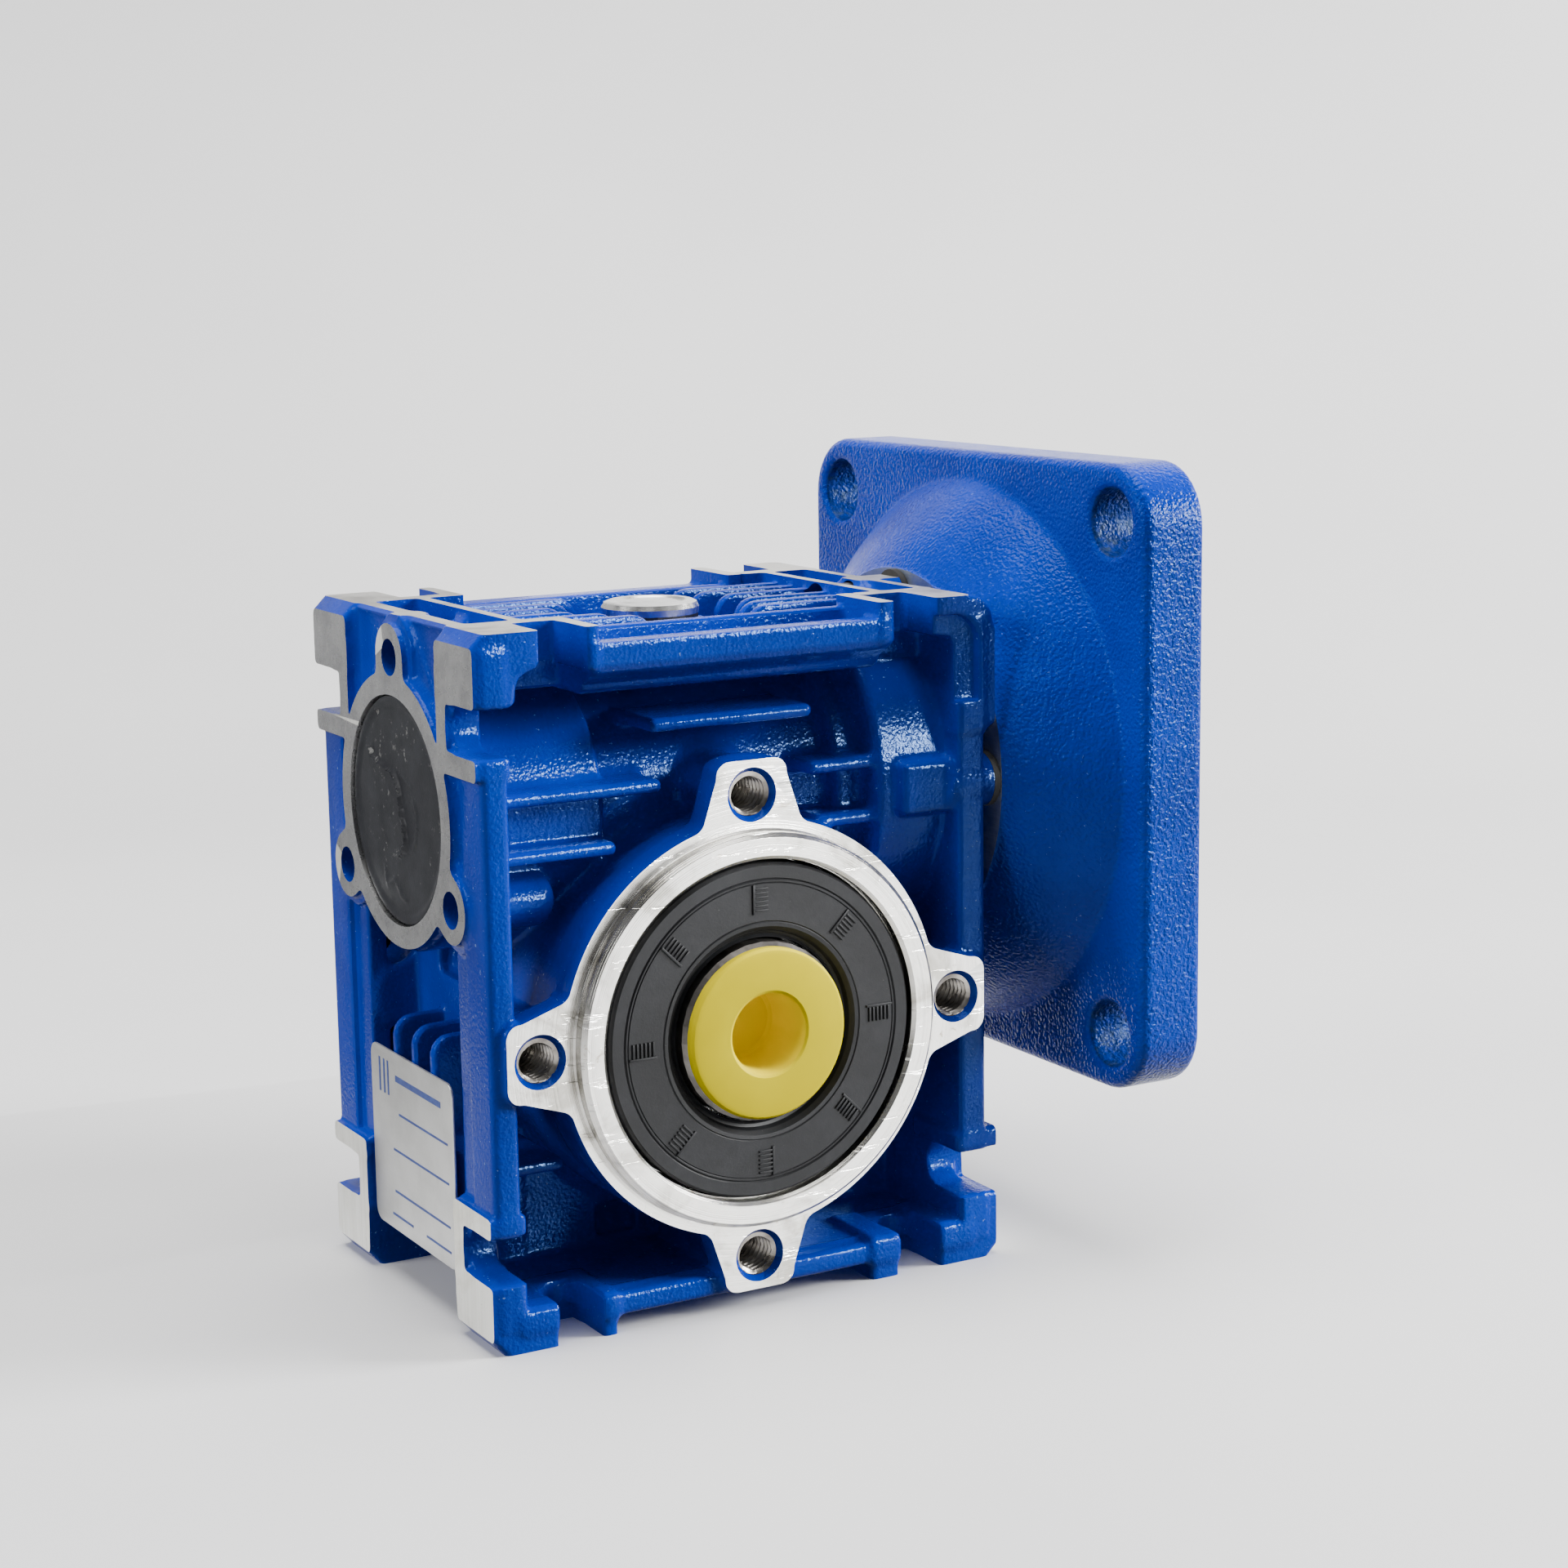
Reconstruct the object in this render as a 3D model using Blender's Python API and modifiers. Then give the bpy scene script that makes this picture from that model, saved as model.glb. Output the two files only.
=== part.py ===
"""Worm gearbox, size 30 (30 mm between the worm and the output axis).

Frame: +X along the worm towards the motor flange, -Y the plain output side,
+Z up. The origin is on the floor, under the middle of the bounding box.
All lengths below are millimetres in the gearbox's own frame, in which the
output axis is the line x = 0, z = 40 and the worm axis the line y = 0, z = 70.
OFFSET_X then moves everything so that the origin is under the box's middle.
"""

import math

import bmesh
import bpy
import numpy as np
from mathutils import Matrix, Vector

# ---------------------------------------------------------------- dimensions
MM = 0.001
GAP = 0.3                  # between neighbouring pieces

OUT_Z = 40.0               # height of the output axis
CENTRES = 30.0             # worm axis above output axis
WORM_Z = OUT_Z + CENTRES

BODY_X = 40.0              # half length of the housing
BODY_Y = 28.0              # half width over the posts
BODY_H = 97.0              # height
WALL = 5.0                 # frame wall
EAR_Y = 29.0               # plane of the machined ears
PILOT_Y = 31.5             # end of the pilot ring and of the hollow shaft
PILOT_R = 27.5
BOLT_R = 32.5              # M6 holes round the output
EAR_TIP = 37.4

SLOT_W = 6.5               # mounting slots
SLOT_Y = 22.0              # centre of a slot's round end
SLOT_X = 27.0              # slots in the top and bottom
SLOT_Z = (13.0, 84.0)      # slots in the end wall

MODULE = 0.9
WHEEL_TEETH = 50
WORM_STARTS = 2
WORM_PITCH_R = 7.5
WHEEL_PITCH_R = MODULE * WHEEL_TEETH / 2
THREAD_PITCH = math.pi * MODULE
LEAD = WORM_STARTS * THREAD_PITCH
WORM_TIP_R = WORM_PITCH_R + MODULE
WORM_ROOT_R = WORM_PITCH_R - 1.2 * MODULE
THREAD_THICKNESS = THREAD_PITCH / 2 - 0.2
PRESSURE_TAN = math.tan(math.radians(20))
WHEEL_WIDTH = 13.0
WHEEL_TIP_R = 23.85
WORM_HALF = 13.0           # half length of the thread

OUT_BORE_R = 7.0           # hollow output shaft
OUT_JOURNAL_R = 12.5
OUT_SEAT_R = 23.5          # 47 mm bearings and seals
IN_BORE_R = 5.5            # hollow input shaft
IN_JOURNAL_R = 10.0
IN_SEAT_R = 18.5           # 37 mm bearing and seal
REAR_JOURNAL_R = 7.5
REAR_SEAT_R = 16.0         # 32 mm bearing and end cap

PLATE_X0 = 53.4            # square motor plate
PLATE_X1 = 63.4
PLATE_HALF = 45.0
PLATE_CORNER = 9.0
PLATE_BOLT = 36.77         # half pitch of its four holes, on a 104 mm circle
PLATE_HOLE_R = 4.8
REGISTER_R = 41.5
HUB_R = 28.0
FLANGE_SCREW_R = 24.0

OFFSET_X = (-BODY_X + PLATE_X1) / 2

# ------------------------------------------------------------------ clearing
for old in list(bpy.data.objects):
    bpy.data.objects.remove(old, do_unlink=True)

PARTS = bpy.data.collections.new("worm_gearbox")
TOOLS = bpy.data.collections.new("construction")
bpy.context.scene.collection.children.link(PARTS)
bpy.context.scene.collection.children.link(TOOLS)


# ----------------------------------------------------------------- materials
def material(name, colour, roughness, metallic):
    made = bpy.data.materials.new(name)
    made.use_nodes = True
    shader = made.node_tree.nodes["Principled BSDF"]
    shader.inputs["Base Color"].default_value = (*colour, 1)
    shader.inputs["Roughness"].default_value = roughness
    shader.inputs["Metallic"].default_value = metallic
    made.diffuse_color = (*colour, 1)
    return made


BLUE = material("blue_paint", (0.01, 0.11, 0.55), 0.3, 0.0)
BARE = material("bare_steel", (0.6, 0.6, 0.61), 0.3, 1.0)
ZINC = material("zinc_steel", (0.66, 0.65, 0.62), 0.35, 1.0)
BLACK_STEEL = material("black_steel", (0.04, 0.04, 0.045), 0.4, 0.8)
RUBBER = material("black_rubber", (0.02, 0.021, 0.024), 0.5, 0.0)
CAP_RUBBER = material("cap_rubber", (0.035, 0.037, 0.042), 0.6, 0.0)
YELLOW = material("yellow_plastic", (0.75, 0.62, 0.0), 0.4, 0.0)
BRONZE = material("gear_bronze", (0.62, 0.38, 0.12), 0.32, 1.0)
SILVER = material("plate_silver", (0.62, 0.63, 0.65), 0.35, 0.8)
PAPER = material("gasket_fibre", (0.3, 0.27, 0.2), 0.8, 0.0)


# ------------------------------------------------------------------- helpers
def place(name, mesh, mat=None, tool=False):
    """A new object holding this mesh, in the parts or in the construction set."""
    obj = bpy.data.objects.new(name, mesh)
    (TOOLS if tool else PARTS).objects.link(obj)
    if tool:
        obj.hide_render = True
        obj.display_type = "WIRE"
    if mat is not None:
        obj.data.materials.clear()
        obj.data.materials.append(mat)
    return obj


def from_bmesh(name, bm, mat=None, tool=True):
    mesh = bpy.data.meshes.new(name)
    bmesh.ops.recalc_face_normals(bm, faces=bm.faces)
    bm.to_mesh(mesh)
    bm.free()
    return place(name, mesh, mat, tool)


def box(name, low, high, tool=True, mat=None):
    bm = bmesh.new()
    bmesh.ops.create_cube(bm, size=1)
    size = [(b - a) * MM for a, b in zip(low, high)]
    middle = [(a + b) / 2 * MM for a, b in zip(low, high)]
    bmesh.ops.scale(bm, vec=size, verts=bm.verts)
    bmesh.ops.translate(bm, vec=middle, verts=bm.verts)
    return from_bmesh(name, bm, mat, tool)


# Turns a shape made about +Z so that its axis lies along X or Y.
TURN = {
    "X": Matrix.Rotation(math.radians(90), 4, "Y"),
    "Y": Matrix.Rotation(math.radians(-90), 4, "X"),
    "Z": Matrix.Identity(4),
}


def cyl(name, axis, centre, radius, start, end, segments=32, tool=True, mat=None, radius2=None):
    """A cylinder or cone along an axis, from start to end on that axis."""
    bm = bmesh.new()
    bmesh.ops.create_cone(
        bm, cap_ends=True, segments=segments, depth=(end - start) * MM,
        radius1=radius * MM, radius2=(radius if radius2 is None else radius2) * MM,
    )
    # A flat instead of a corner points along each axis, so slopes stay symmetric.
    bmesh.ops.rotate(bm, cent=(0, 0, 0), matrix=Matrix.Rotation(math.pi / segments, 3, "Z"), verts=bm.verts)
    bmesh.ops.translate(bm, vec=(0, 0, (start + end) / 2 * MM), verts=bm.verts)
    bmesh.ops.transform(bm, matrix=TURN[axis], verts=bm.verts)
    bmesh.ops.translate(bm, vec=Vector(centre) * MM, verts=bm.verts)
    return from_bmesh(name, bm, mat, tool)


def turned(name, axis, centre, profile, segments=32, mat=None, tool=False):
    """A turned shape: (radius, position along the axis) down its outer side.

    A profile whose first and last radius is 0 makes a solid, and any other
    profile is closed into a ring."""
    ring = profile[0][0] > 0
    bm = bmesh.new()
    verts = [bm.verts.new((r * MM, 0, a * MM)) for r, a in profile]
    for one, two in zip(verts, verts[1:]):
        bm.edges.new((one, two))
    if ring:
        bm.edges.new((verts[-1], verts[0]))
    mesh = bpy.data.meshes.new(name)
    bm.to_mesh(mesh)
    bm.free()
    obj = place(name, mesh, mat, tool)
    screw = obj.modifiers.new("turn", "SCREW")
    screw.angle = 2 * math.pi
    screw.steps = screw.render_steps = segments
    screw.use_merge_vertices = True
    screw.merge_threshold = 0.00001
    screw.use_normal_calculate = False
    obj.matrix_world = Matrix.Translation(Vector(centre) * MM) @ TURN[axis]
    return obj


def outline(name, loops, axis, start, end, tool=True, mat=None):
    """A flat outline, extruded along an axis from start to end.

    Points are (x, z) for axis Y, (y, z) for axis X and (x, y) for axis Z.
    The first loop is the edge and the others are holes."""
    curve = bpy.data.curves.new(name + "_outline", "CURVE")
    curve.dimensions = "2D"
    curve.fill_mode = "BOTH"
    curve.extrude = (end - start) / 2 * MM
    for loop in loops:
        spline = curve.splines.new("POLY")
        spline.points.add(len(loop) - 1)
        for point, (u, v) in zip(spline.points, loop):
            point.co = (u * MM, v * MM, 0, 1)
        spline.use_cyclic_u = True
    guide = bpy.data.objects.new(name + "_outline", curve)
    bpy.context.scene.collection.objects.link(guide)
    middle = (start + end) / 2 * MM
    guide.matrix_world = {
        "X": Matrix(((0, 0, 1, middle), (1, 0, 0, 0), (0, 1, 0, 0), (0, 0, 0, 1))),
        "Y": Matrix(((1, 0, 0, 0), (0, 0, -1, middle), (0, 1, 0, 0), (0, 0, 0, 1))),
        "Z": Matrix.Translation((0, 0, middle)),
    }[axis]
    bpy.context.view_layer.update()
    graph = bpy.context.evaluated_depsgraph_get()
    mesh = bpy.data.meshes.new_from_object(guide.evaluated_get(graph))
    mesh.transform(guide.matrix_world)
    bpy.data.objects.remove(guide, do_unlink=True)
    bm = bmesh.new()
    bm.from_mesh(mesh)
    bmesh.ops.remove_doubles(bm, verts=bm.verts, dist=0.000002)
    bmesh.ops.dissolve_limit(bm, angle_limit=0.001, verts=bm.verts, edges=bm.edges)
    bmesh.ops.recalc_face_normals(bm, faces=bm.faces)
    bm.to_mesh(mesh)
    bm.free()
    mesh.name = name
    return place(name, mesh, mat, tool)


# The housing's many flush faces leave the exact solver with open edges, so it
# uses the manifold one. Everything it joins or cuts is a closed body.
SOLVERS = {"housing": "MANIFOLD"}


def join(obj, *pieces):
    for piece in pieces:
        step = obj.modifiers.new("join_" + piece.name, "BOOLEAN")
        step.operation = "UNION"
        step.solver = SOLVERS.get(obj.name, "EXACT")
        step.object = piece
    return obj


def cut(obj, *pieces):
    for piece in pieces:
        step = obj.modifiers.new("cut_" + piece.name, "BOOLEAN")
        step.operation = "DIFFERENCE"
        step.solver = SOLVERS.get(obj.name, "EXACT")
        step.object = piece
    return obj


def smooth(obj, degrees=32):
    """Smooth shading on the finished shape, with its real edges kept sharp."""
    obj.data.shade_smooth()
    obj.data.set_sharp_from_angle(angle=math.radians(degrees))
    return obj


def arc(cx, cy, r, a0, a1, steps):
    return [
        (cx + r * math.cos(math.radians(a0 + (a1 - a0) * i / steps)),
         cy + r * math.sin(math.radians(a0 + (a1 - a0) * i / steps)))
        for i in range(steps + 1)
    ]


def rounded(x0, y0, x1, y1, r, steps=3):
    return (
        arc(x1 - r, y0 + r, r, -90, 0, steps) + arc(x1 - r, y1 - r, r, 0, 90, steps)
        + arc(x0 + r, y1 - r, r, 90, 180, steps) + arc(x0 + r, y0 + r, r, 180, 270, steps)
    )


def turn_points(points, degrees, cx, cy):
    c, s = math.cos(math.radians(degrees)), math.sin(math.radians(degrees))
    return [(cx + x * c - y * s, cy + x * s + y * c) for x, y in points]


def at_output(degrees, radius):
    """A point in the X-Z plane round the output axis, 90 degrees being straight up."""
    a = math.radians(degrees)
    return radius * math.cos(a), OUT_Z + radius * math.sin(a)


# ------------------------------------------------------------------- housing
# The box frame, drawn on the X-Z plane: four walls with the raised pads of the
# feet at the bottom and their twins on top.
frame_edge = [
    (-40, 2), (-38.3, 0), (-21.5, 0), (-21.5, 2.4), (18.8, 2.4), (18.8, 0), (39, 0), (40, 1),
    (40, 18.6), (38.6, 18.6), (38.6, 78.2), (40, 78.2), (40, 95.5), (38.5, 97),
    (21.1, 97), (21.1, 94.6), (-21.6, 94.6), (-21.6, 97), (-38.3, 97), (-40, 95.3),
]
frame_hole = [(-35, 5.5), (34.4, 5.5), (34.4, 91.5), (-35, 91.5)]
housing = outline("housing", [frame_edge, frame_hole], "Y", -BODY_Y, BODY_Y, tool=False, mat=BLUE)

# The end wall's sunk channel between its two rows of pads, with the cap ring
# and the three ears standing in it at full height.
join(housing, box("roof", (-36, -24, 88.4), (36, 24, 92)))
cut(
    housing,
    box("left_channel", (-42, -15.6, -2), (-37.5, 15.6, 99)),
    box("top_recess_long", (-34.5, -15.6, 91), (34, 15.6, 99)),
    box("top_recess_wide", (-21.6, -24.4, 91), (21.1, 24.4, 99)),
    box("bottom_recess", (-34.5, -15.6, -2), (34, 15.6, 2.4)),
    box("left_hollow", (-42, -15.6, 25), (-30, 15.6, 60)),
)
ear_a = [(-4.8, 0), (-4.8, 21.3)] + arc(0, 21.3, 4.8, 180, 0, 6)[1:-1] + [(4.8, 21.3), (4.8, 0)]
ears = [
    outline(f"cap_ear_{i}", [turn_points(ear_a, turn, 0, WORM_Z)], "X", -40, -34.5)
    for i, turn in enumerate((0, 120, 240))
]
web = box("web", (-28, -7.3, 4), (36, 7.3, 93))
web_low = box("web_low", (-36, -7.3, 4), (-27, 7.3, 24.6))
web_top = box("web_top", (-36, -7.3, 82), (-27, 7.3, 93))
tunnel = cyl("tunnel_boss", "X", (0, 0, WORM_Z), 19.9, -40, -22, 28)
tunnel_mid = cyl("tunnel_middle", "X", (0, 0, WORM_Z), 18.0, -23, 20, 24)
tunnel_in = cyl("input_boss", "X", (0, 0, WORM_Z), 24.9, 18.5, 39, 28)
tunnel_face = cyl("input_face", "X", (0, 0, WORM_Z), 26.9, 34, 40, 28)
chamber = cyl("wheel_boss", "Y", (0, 0, OUT_Z), 29.5, -25, 9, 32)
chamber_back = cyl("wheel_boss_back", "Y", (0, 0, OUT_Z), 32.0, 8, 25, 32)
ring_base = cyl("ring_base", "Y", (0, 0, OUT_Z), 29.2, -EAR_Y, -20, 32)
pilot = cyl("pilot_ring", "Y", (0, 0, OUT_Z), PILOT_R, -PILOT_Y, -20, 32)
join(housing, web, web_low, web_top, tunnel, tunnel_mid, tunnel_in, tunnel_face, chamber, chamber_back, *ears, ring_base)

# Ears of the output side: a trapezium with rounded corners on a thick column.
output_ear = [(7.8, 26), (5.25, 35.5)] + arc(3.2, 35.3, 2.1, 20, 90, 3) + arc(-3.2, 35.3, 2.1, 90, 160, 3) + [(-5.25, 35.5), (-7.8, 26)]
for i, turn in enumerate((0, 90, 180, 270)):
    join(housing, outline(f"output_ear_{i}", [turn_points(output_ear, turn, 0, OUT_Z)], "Y", -EAR_Y, -23))
    x, z = at_output(turn + 90, BOLT_R)
    join(housing, cyl(f"ear_column_{i}", "Y", (x, 0, z), 4.6, -28.5, 24.6, 10))
    x, z = at_output(turn + 45, 30.5)
    join(housing, cyl(f"screw_column_{i}", "Y", (x, 0, z), 5.2, 8, 25, 10))
join(housing, pilot)

# Cooling ribs on both sides of the worm tunnel, and the two screw bosses.
for side, sign in (("front", -1), ("back", 1)):
    def rib(tag, x0, x1, z):
        ys = sorted((sign * 10, sign * 24))
        return box(f"rib_{side}_{tag}", (x0, ys[0], z - 0.9), (x1, ys[1], z + 0.9))

    ys = sorted((sign * 15, sign * 27))
    join(
        housing,
        rib("top", -12.6, 12.6, 82.2), rib("left", -36, -11, 74.1), rib("right", 12, 27, 74.1),
        rib("low_left", -36, -18, 66.2), rib("low_right", 13, 27, 66.2),
        box(f"screw_boss_{side}", (25.3, ys[0], 66.3), (36, ys[1], 73.9)),
        box(f"corner_rib_{side}", (-36, min(sign * 7, sign * 24), 23.0), (-27, max(sign * 7, sign * 24), 24.6)),
    )
for i, y in enumerate((-18.19, 18.19)):
    join(housing, cyl(f"cap_screw_boss_{i}", "X", (0, y, 59.5), 4.2, -36, -25, 10))

# Fins on the top, along X, in two groups with the filler between them, and
# the three short fins on the end wall that carry the rating plate.
for i, (y, inner_left, inner_right) in enumerate(((-12, 6, 9), (-7.5, 9, 10), (-3, 12, 12), (3, 12, 12), (7.5, 9, 10), (12, 6, 9))):
    join(
        housing,
        box(f"fin_left_{i}", (-35, y - 0.8, 90), (-inner_left, y + 0.8, 95.6)),
        box(f"fin_right_{i}", (inner_right, y - 0.8, 90), (35, y + 0.8, 95.6)),
    )
for i, y in enumerate((-7, 0, 7)):
    join(housing, box(f"end_fin_{i}", (-38.5, y - 0.8, 4), (-27, y + 0.8, 40)))
join(
    housing,
    cyl("filler_boss", "Z", (0, 0, 0), 8.2, 85, 93.6, 16),
    box("top_screw_boss", (26.5, -4.6, 88), (36, 4.6, 96.9)),
)

# Mounting slots: open towards the outer edges of the frame.
slot = [(-SLOT_W / 2, 30), (SLOT_W / 2, 30)] + arc(0, SLOT_Y, SLOT_W / 2, 0, -180, 6)
slot_side = [(v, u) for u, v in slot]
for i, sign in enumerate((-1, 1)):
    for j, x in enumerate((-SLOT_X, SLOT_X)):
        loop = [(x + u, sign * v) for u, v in slot]
        cut(housing, outline(f"foot_slot_{i}{j}", [loop], "Z", -1, 9), outline(f"top_slot_{i}{j}", [loop], "Z", 87.6, 99))
    for j, z in enumerate(SLOT_Z):
        loop = [(sign * v, z + u) for v, u in slot_side]
        cut(housing, outline(f"left_slot_{i}{j}", [loop], "X", -42, -31))
        if z < 50:             # the input wall has its two low slots only
            cut(housing, outline(f"right_slot_{i}{j}", [loop], "X", 31.5, 42))

# Inside: wheel chamber, bearing seats, worm tunnel, cover bore and tapped holes.
cut(
    housing,
    cyl("cut_chamber", "Y", (0, 0, OUT_Z), 25.6, -12, 13, 28),
    cyl("cut_output_seat", "Y", (0, 0, OUT_Z), OUT_SEAT_R + GAP, -33, -11, 32),
    cyl("cut_cover_bore", "Y", (0, 0, OUT_Z), 28.0 + GAP, 12, 27, 28),
    cyl("cut_tunnel", "X", (0, 0, WORM_Z), 14.0, -24.5, 23, 20),
    cyl("cut_rear_seat", "X", (0, 0, WORM_Z), REAR_SEAT_R + GAP, -42, -23.8, 28),
    cyl("cut_front_seat", "X", (0, 0, WORM_Z), IN_SEAT_R + GAP, 22.7, 42, 28),
    cyl("cut_filler", "Z", (0, 0, 0), 5.2, 78, 95, 12),
    # Room in the posts and the bottom rail for the ears of the cover.
    box("cut_ear_left", (-37.9, 25, OUT_Z - 8.6), (-33, 30, OUT_Z + 8.6)),
    box("cut_ear_right", (33, 25, OUT_Z - 8.6), (37.9, 30, OUT_Z + 8.6)),
    box("cut_ear_bottom", (-8.6, 25, 2.0), (8.6, 30, 8)),
)
for i, turn in enumerate((90, 180, 270, 0)):
    x, z = at_output(turn, BOLT_R)
    cut(housing, cyl(f"cut_m6_front_{i}", "Y", (x, 0, z), 2.7, -31, -17, 10), cyl(f"cut_m6_back_{i}", "Y", (x, 0, z), 2.7, 16, 31, 8))
    x, z = at_output(turn + 45, 30.5)
    cut(housing, cyl(f"cut_cover_screw_{i}", "Y", (x, 0, z), 2.4, 18.0, 31, 8))
    y = FLANGE_SCREW_R * math.cos(math.radians(turn))
    z = WORM_Z + FLANGE_SCREW_R * math.sin(math.radians(turn))
    cut(housing, cyl(f"cut_flange_screw_{i}", "X", (0, y, z), 2.8, 27, 42, 8))
for i, turn in enumerate((90, 210, 330)):
    y = 21.2 * math.cos(math.radians(turn))
    z = WORM_Z + 21.2 * math.sin(math.radians(turn))
    cut(housing, cyl(f"cut_cap_screw_{i}", "X", (0, y, z), 2.5, -42, -29, 10))
smooth(housing)

# --------------------------------------------------------------- output cover
cover = turned(
    "output_cover", "Y", (0, 0, OUT_Z),
    [(PILOT_R - 0.6, PILOT_Y), (PILOT_R, PILOT_Y - 0.6), (PILOT_R, EAR_Y), (34.6, EAR_Y), (35.2, EAR_Y - 0.6), (35.2, 25.0 + GAP),
     (28.0, 25.0 + GAP), (28.0, 19.6), (26.6, 19.6), (26.6, 17.8), (28.0, 17.8), (28.0, 12.6), (OUT_SEAT_R - 1, 12.6), (OUT_SEAT_R - 1, PILOT_Y)],
    36, BLUE,
)
for i, turn in enumerate((0, 90, 180, 270)):
    # The turned body lies along Y, so its own outline plane is X and -Z.
    join(cover, outline(f"cover_ear_{i}", [turn_points([(x, y + 0.0) for x, y in output_ear], turn, 0, OUT_Z)], "Y", 25.0 + GAP, EAR_Y))
cut(cover, cyl("cut_cover_seat", "Y", (0, 0, OUT_Z), OUT_SEAT_R + GAP, 11, 33, 36))
for i, turn in enumerate((90, 180, 270, 0)):
    x, z = at_output(turn, BOLT_R)
    cut(cover, cyl(f"cut_cover_m6_{i}", "Y", (x, 0, z), 2.7, 23, 31, 8))
    x, z = at_output(turn + 45, 30.5)
    cut(cover, cyl(f"cut_cover_clear_{i}", "Y", (x, 0, z), 2.6, 23, 31, 8))
    cut(cover, cyl(f"cut_cover_head_{i}", "Y", (x, 0, z), 4.2, 27.2, 33, 10))
smooth(cover)


def cap_screw(name, axis, centre, head_from, head_to, head_r, shank_r, shank_to, socket_r, mat):
    """A hexagon socket screw along an axis; the head goes from head_from to head_to."""
    way = 1 if head_to > head_from else -1
    profile = [(0, head_to), (head_r - 0.4, head_to), (head_r, head_to - way * 0.4), (head_r, head_from), (shank_r, head_from),
               (shank_r, shank_to + way * 0.5), (shank_r - 0.5, shank_to), (0, shank_to)]
    if way < 0:
        profile = profile[::-1]
    screw = turned(name, axis, centre, profile, 10, mat)
    ends = sorted((head_to + way, head_to - way * 0.55 * abs(head_to - head_from)))
    cut(screw, cyl("socket_" + name, axis, centre, socket_r, ends[0], ends[1], 6))
    return smooth(screw)


for i, turn in enumerate((135, 225, 315, 45)):
    x, z = at_output(turn, 30.5)
    cap_screw(f"cover_screw_{i + 1}", "Y", (x, 0, z), 27.6, 30.6, 3.5, 1.95, 18.6, 1.75, ZINC)

turned(
    "cover_o_ring", "Y", (0, 0, OUT_Z),
    [(27.45 + 0.5 * math.cos(a), 18.7 + 0.5 * math.sin(a)) for a in [math.radians(45 - 90 * k) for k in range(4)]], 28, RUBBER,
).data.shade_smooth()

# ----------------------------------------------------- output shaft and wheel
shaft = turned(
    "output_hollow_shaft", "Y", (0, 0, OUT_Z),
    [(OUT_JOURNAL_R - 0.6, 31.5), (OUT_JOURNAL_R, 30.9), (OUT_JOURNAL_R, 11.2), (15.4, 11.2), (15.4, 6.5), (18.0, 6.5), (18.0, -6.5),
     (15.4, -6.5), (15.4, -11.2), (OUT_JOURNAL_R, -11.2), (OUT_JOURNAL_R, -30.9), (OUT_JOURNAL_R - 0.6, -31.5), (OUT_BORE_R, -31.5), (OUT_BORE_R, 31.5)],
    32, BARE,
)
cut(shaft, box("cut_keyway", (-2.5, -33, OUT_Z + 4), (2.5, 33, OUT_Z + 9.3)))
smooth(shaft)


def space_angles(y, radius):
    """Where the worm's thread sweeps a wheel section: least and greatest angle.

    The section lies in the plane at this y, and the angle is counted from +Z
    towards +X round the output axis. The thread rolls past as a rack does."""
    roll = np.linspace(-0.42, 0.42, 241)[:, None]
    psi = np.linspace(-0.075, 0.11, 371)[None, :] - 0.0
    x = radius * np.sin(psi + roll)
    down = CENTRES - radius * np.cos(psi + roll)      # below the worm axis
    r = np.hypot(y, down)
    centre = LEAD * np.arctan2(y, down) / (2 * math.pi) + WHEEL_PITCH_R * roll
    half = THREAD_THICKNESS / 2 - (r - WORM_PITCH_R) * PRESSURE_TAN + 0.21
    inside = (np.abs(x - centre) < half) & (r < WORM_TIP_R + 0.4)
    hit = psi[0][inside.any(axis=0)]
    return (hit.min(), hit.max()) if len(hit) else None


def wheel_section(y):
    """One closed outline of the wheel, four points for each tooth space."""
    tip = min(WHEEL_TIP_R, CENTRES - math.sqrt(max(WORM_ROOT_R + 0.4, abs(y)) ** 2 - y * y)) if abs(y) < WORM_ROOT_R else WHEEL_TIP_R
    reach = (WORM_TIP_R + 0.44) ** 2 - y * y
    root = CENTRES - math.sqrt(reach) if reach > 0 else WHEEL_TIP_R
    root = min(root, tip - 0.06)
    sign = 1 if y >= 0 else -1
    pair = [space_angles(abs(y), radius) for radius in (tip - 0.02, root + 0.04)]
    middle = LEAD * math.atan2(abs(y), CENTRES - WHEEL_PITCH_R) / (2 * math.pi) / WHEEL_PITCH_R
    pair = [p or (middle - 0.004, middle + 0.004) for p in pair]
    (tip0, tip1), (root0, root1) = pair
    if root1 - root0 < 0.008:
        mid = (root0 + root1) / 2
        root0, root1 = mid - 0.004, mid + 0.004
    if tip1 - tip0 < root1 - root0 + 0.004:
        tip0, tip1 = root0 - 0.002, root1 + 0.002
    if sign < 0:
        tip0, root0, root1, tip1 = -tip1, -root1, -root0, -tip0
    points = []
    for k in range(WHEEL_TEETH):
        turn = 2 * math.pi * k / WHEEL_TEETH
        for radius, angle in ((tip, tip0), (root, root0), (root, root1), (tip, tip1)):
            points.append(Vector((radius * math.sin(turn + angle), y, OUT_Z + radius * math.cos(turn + angle))) * MM)
    return points


def loft(name, sections, mat=None, tool=True):
    """A closed body through outlines with the same number of points each."""
    bm = bmesh.new()
    rows = [[bm.verts.new(p) for p in section] for section in sections]
    count = len(rows[0])
    for one, two in zip(rows, rows[1:]):
        for i in range(count):
            j = (i + 1) % count
            bm.faces.new((one[i], one[j], two[j], two[i]))
    bm.faces.new(rows[0])
    bm.faces.new(rows[-1])
    return from_bmesh(name, bm, mat, tool)


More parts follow.
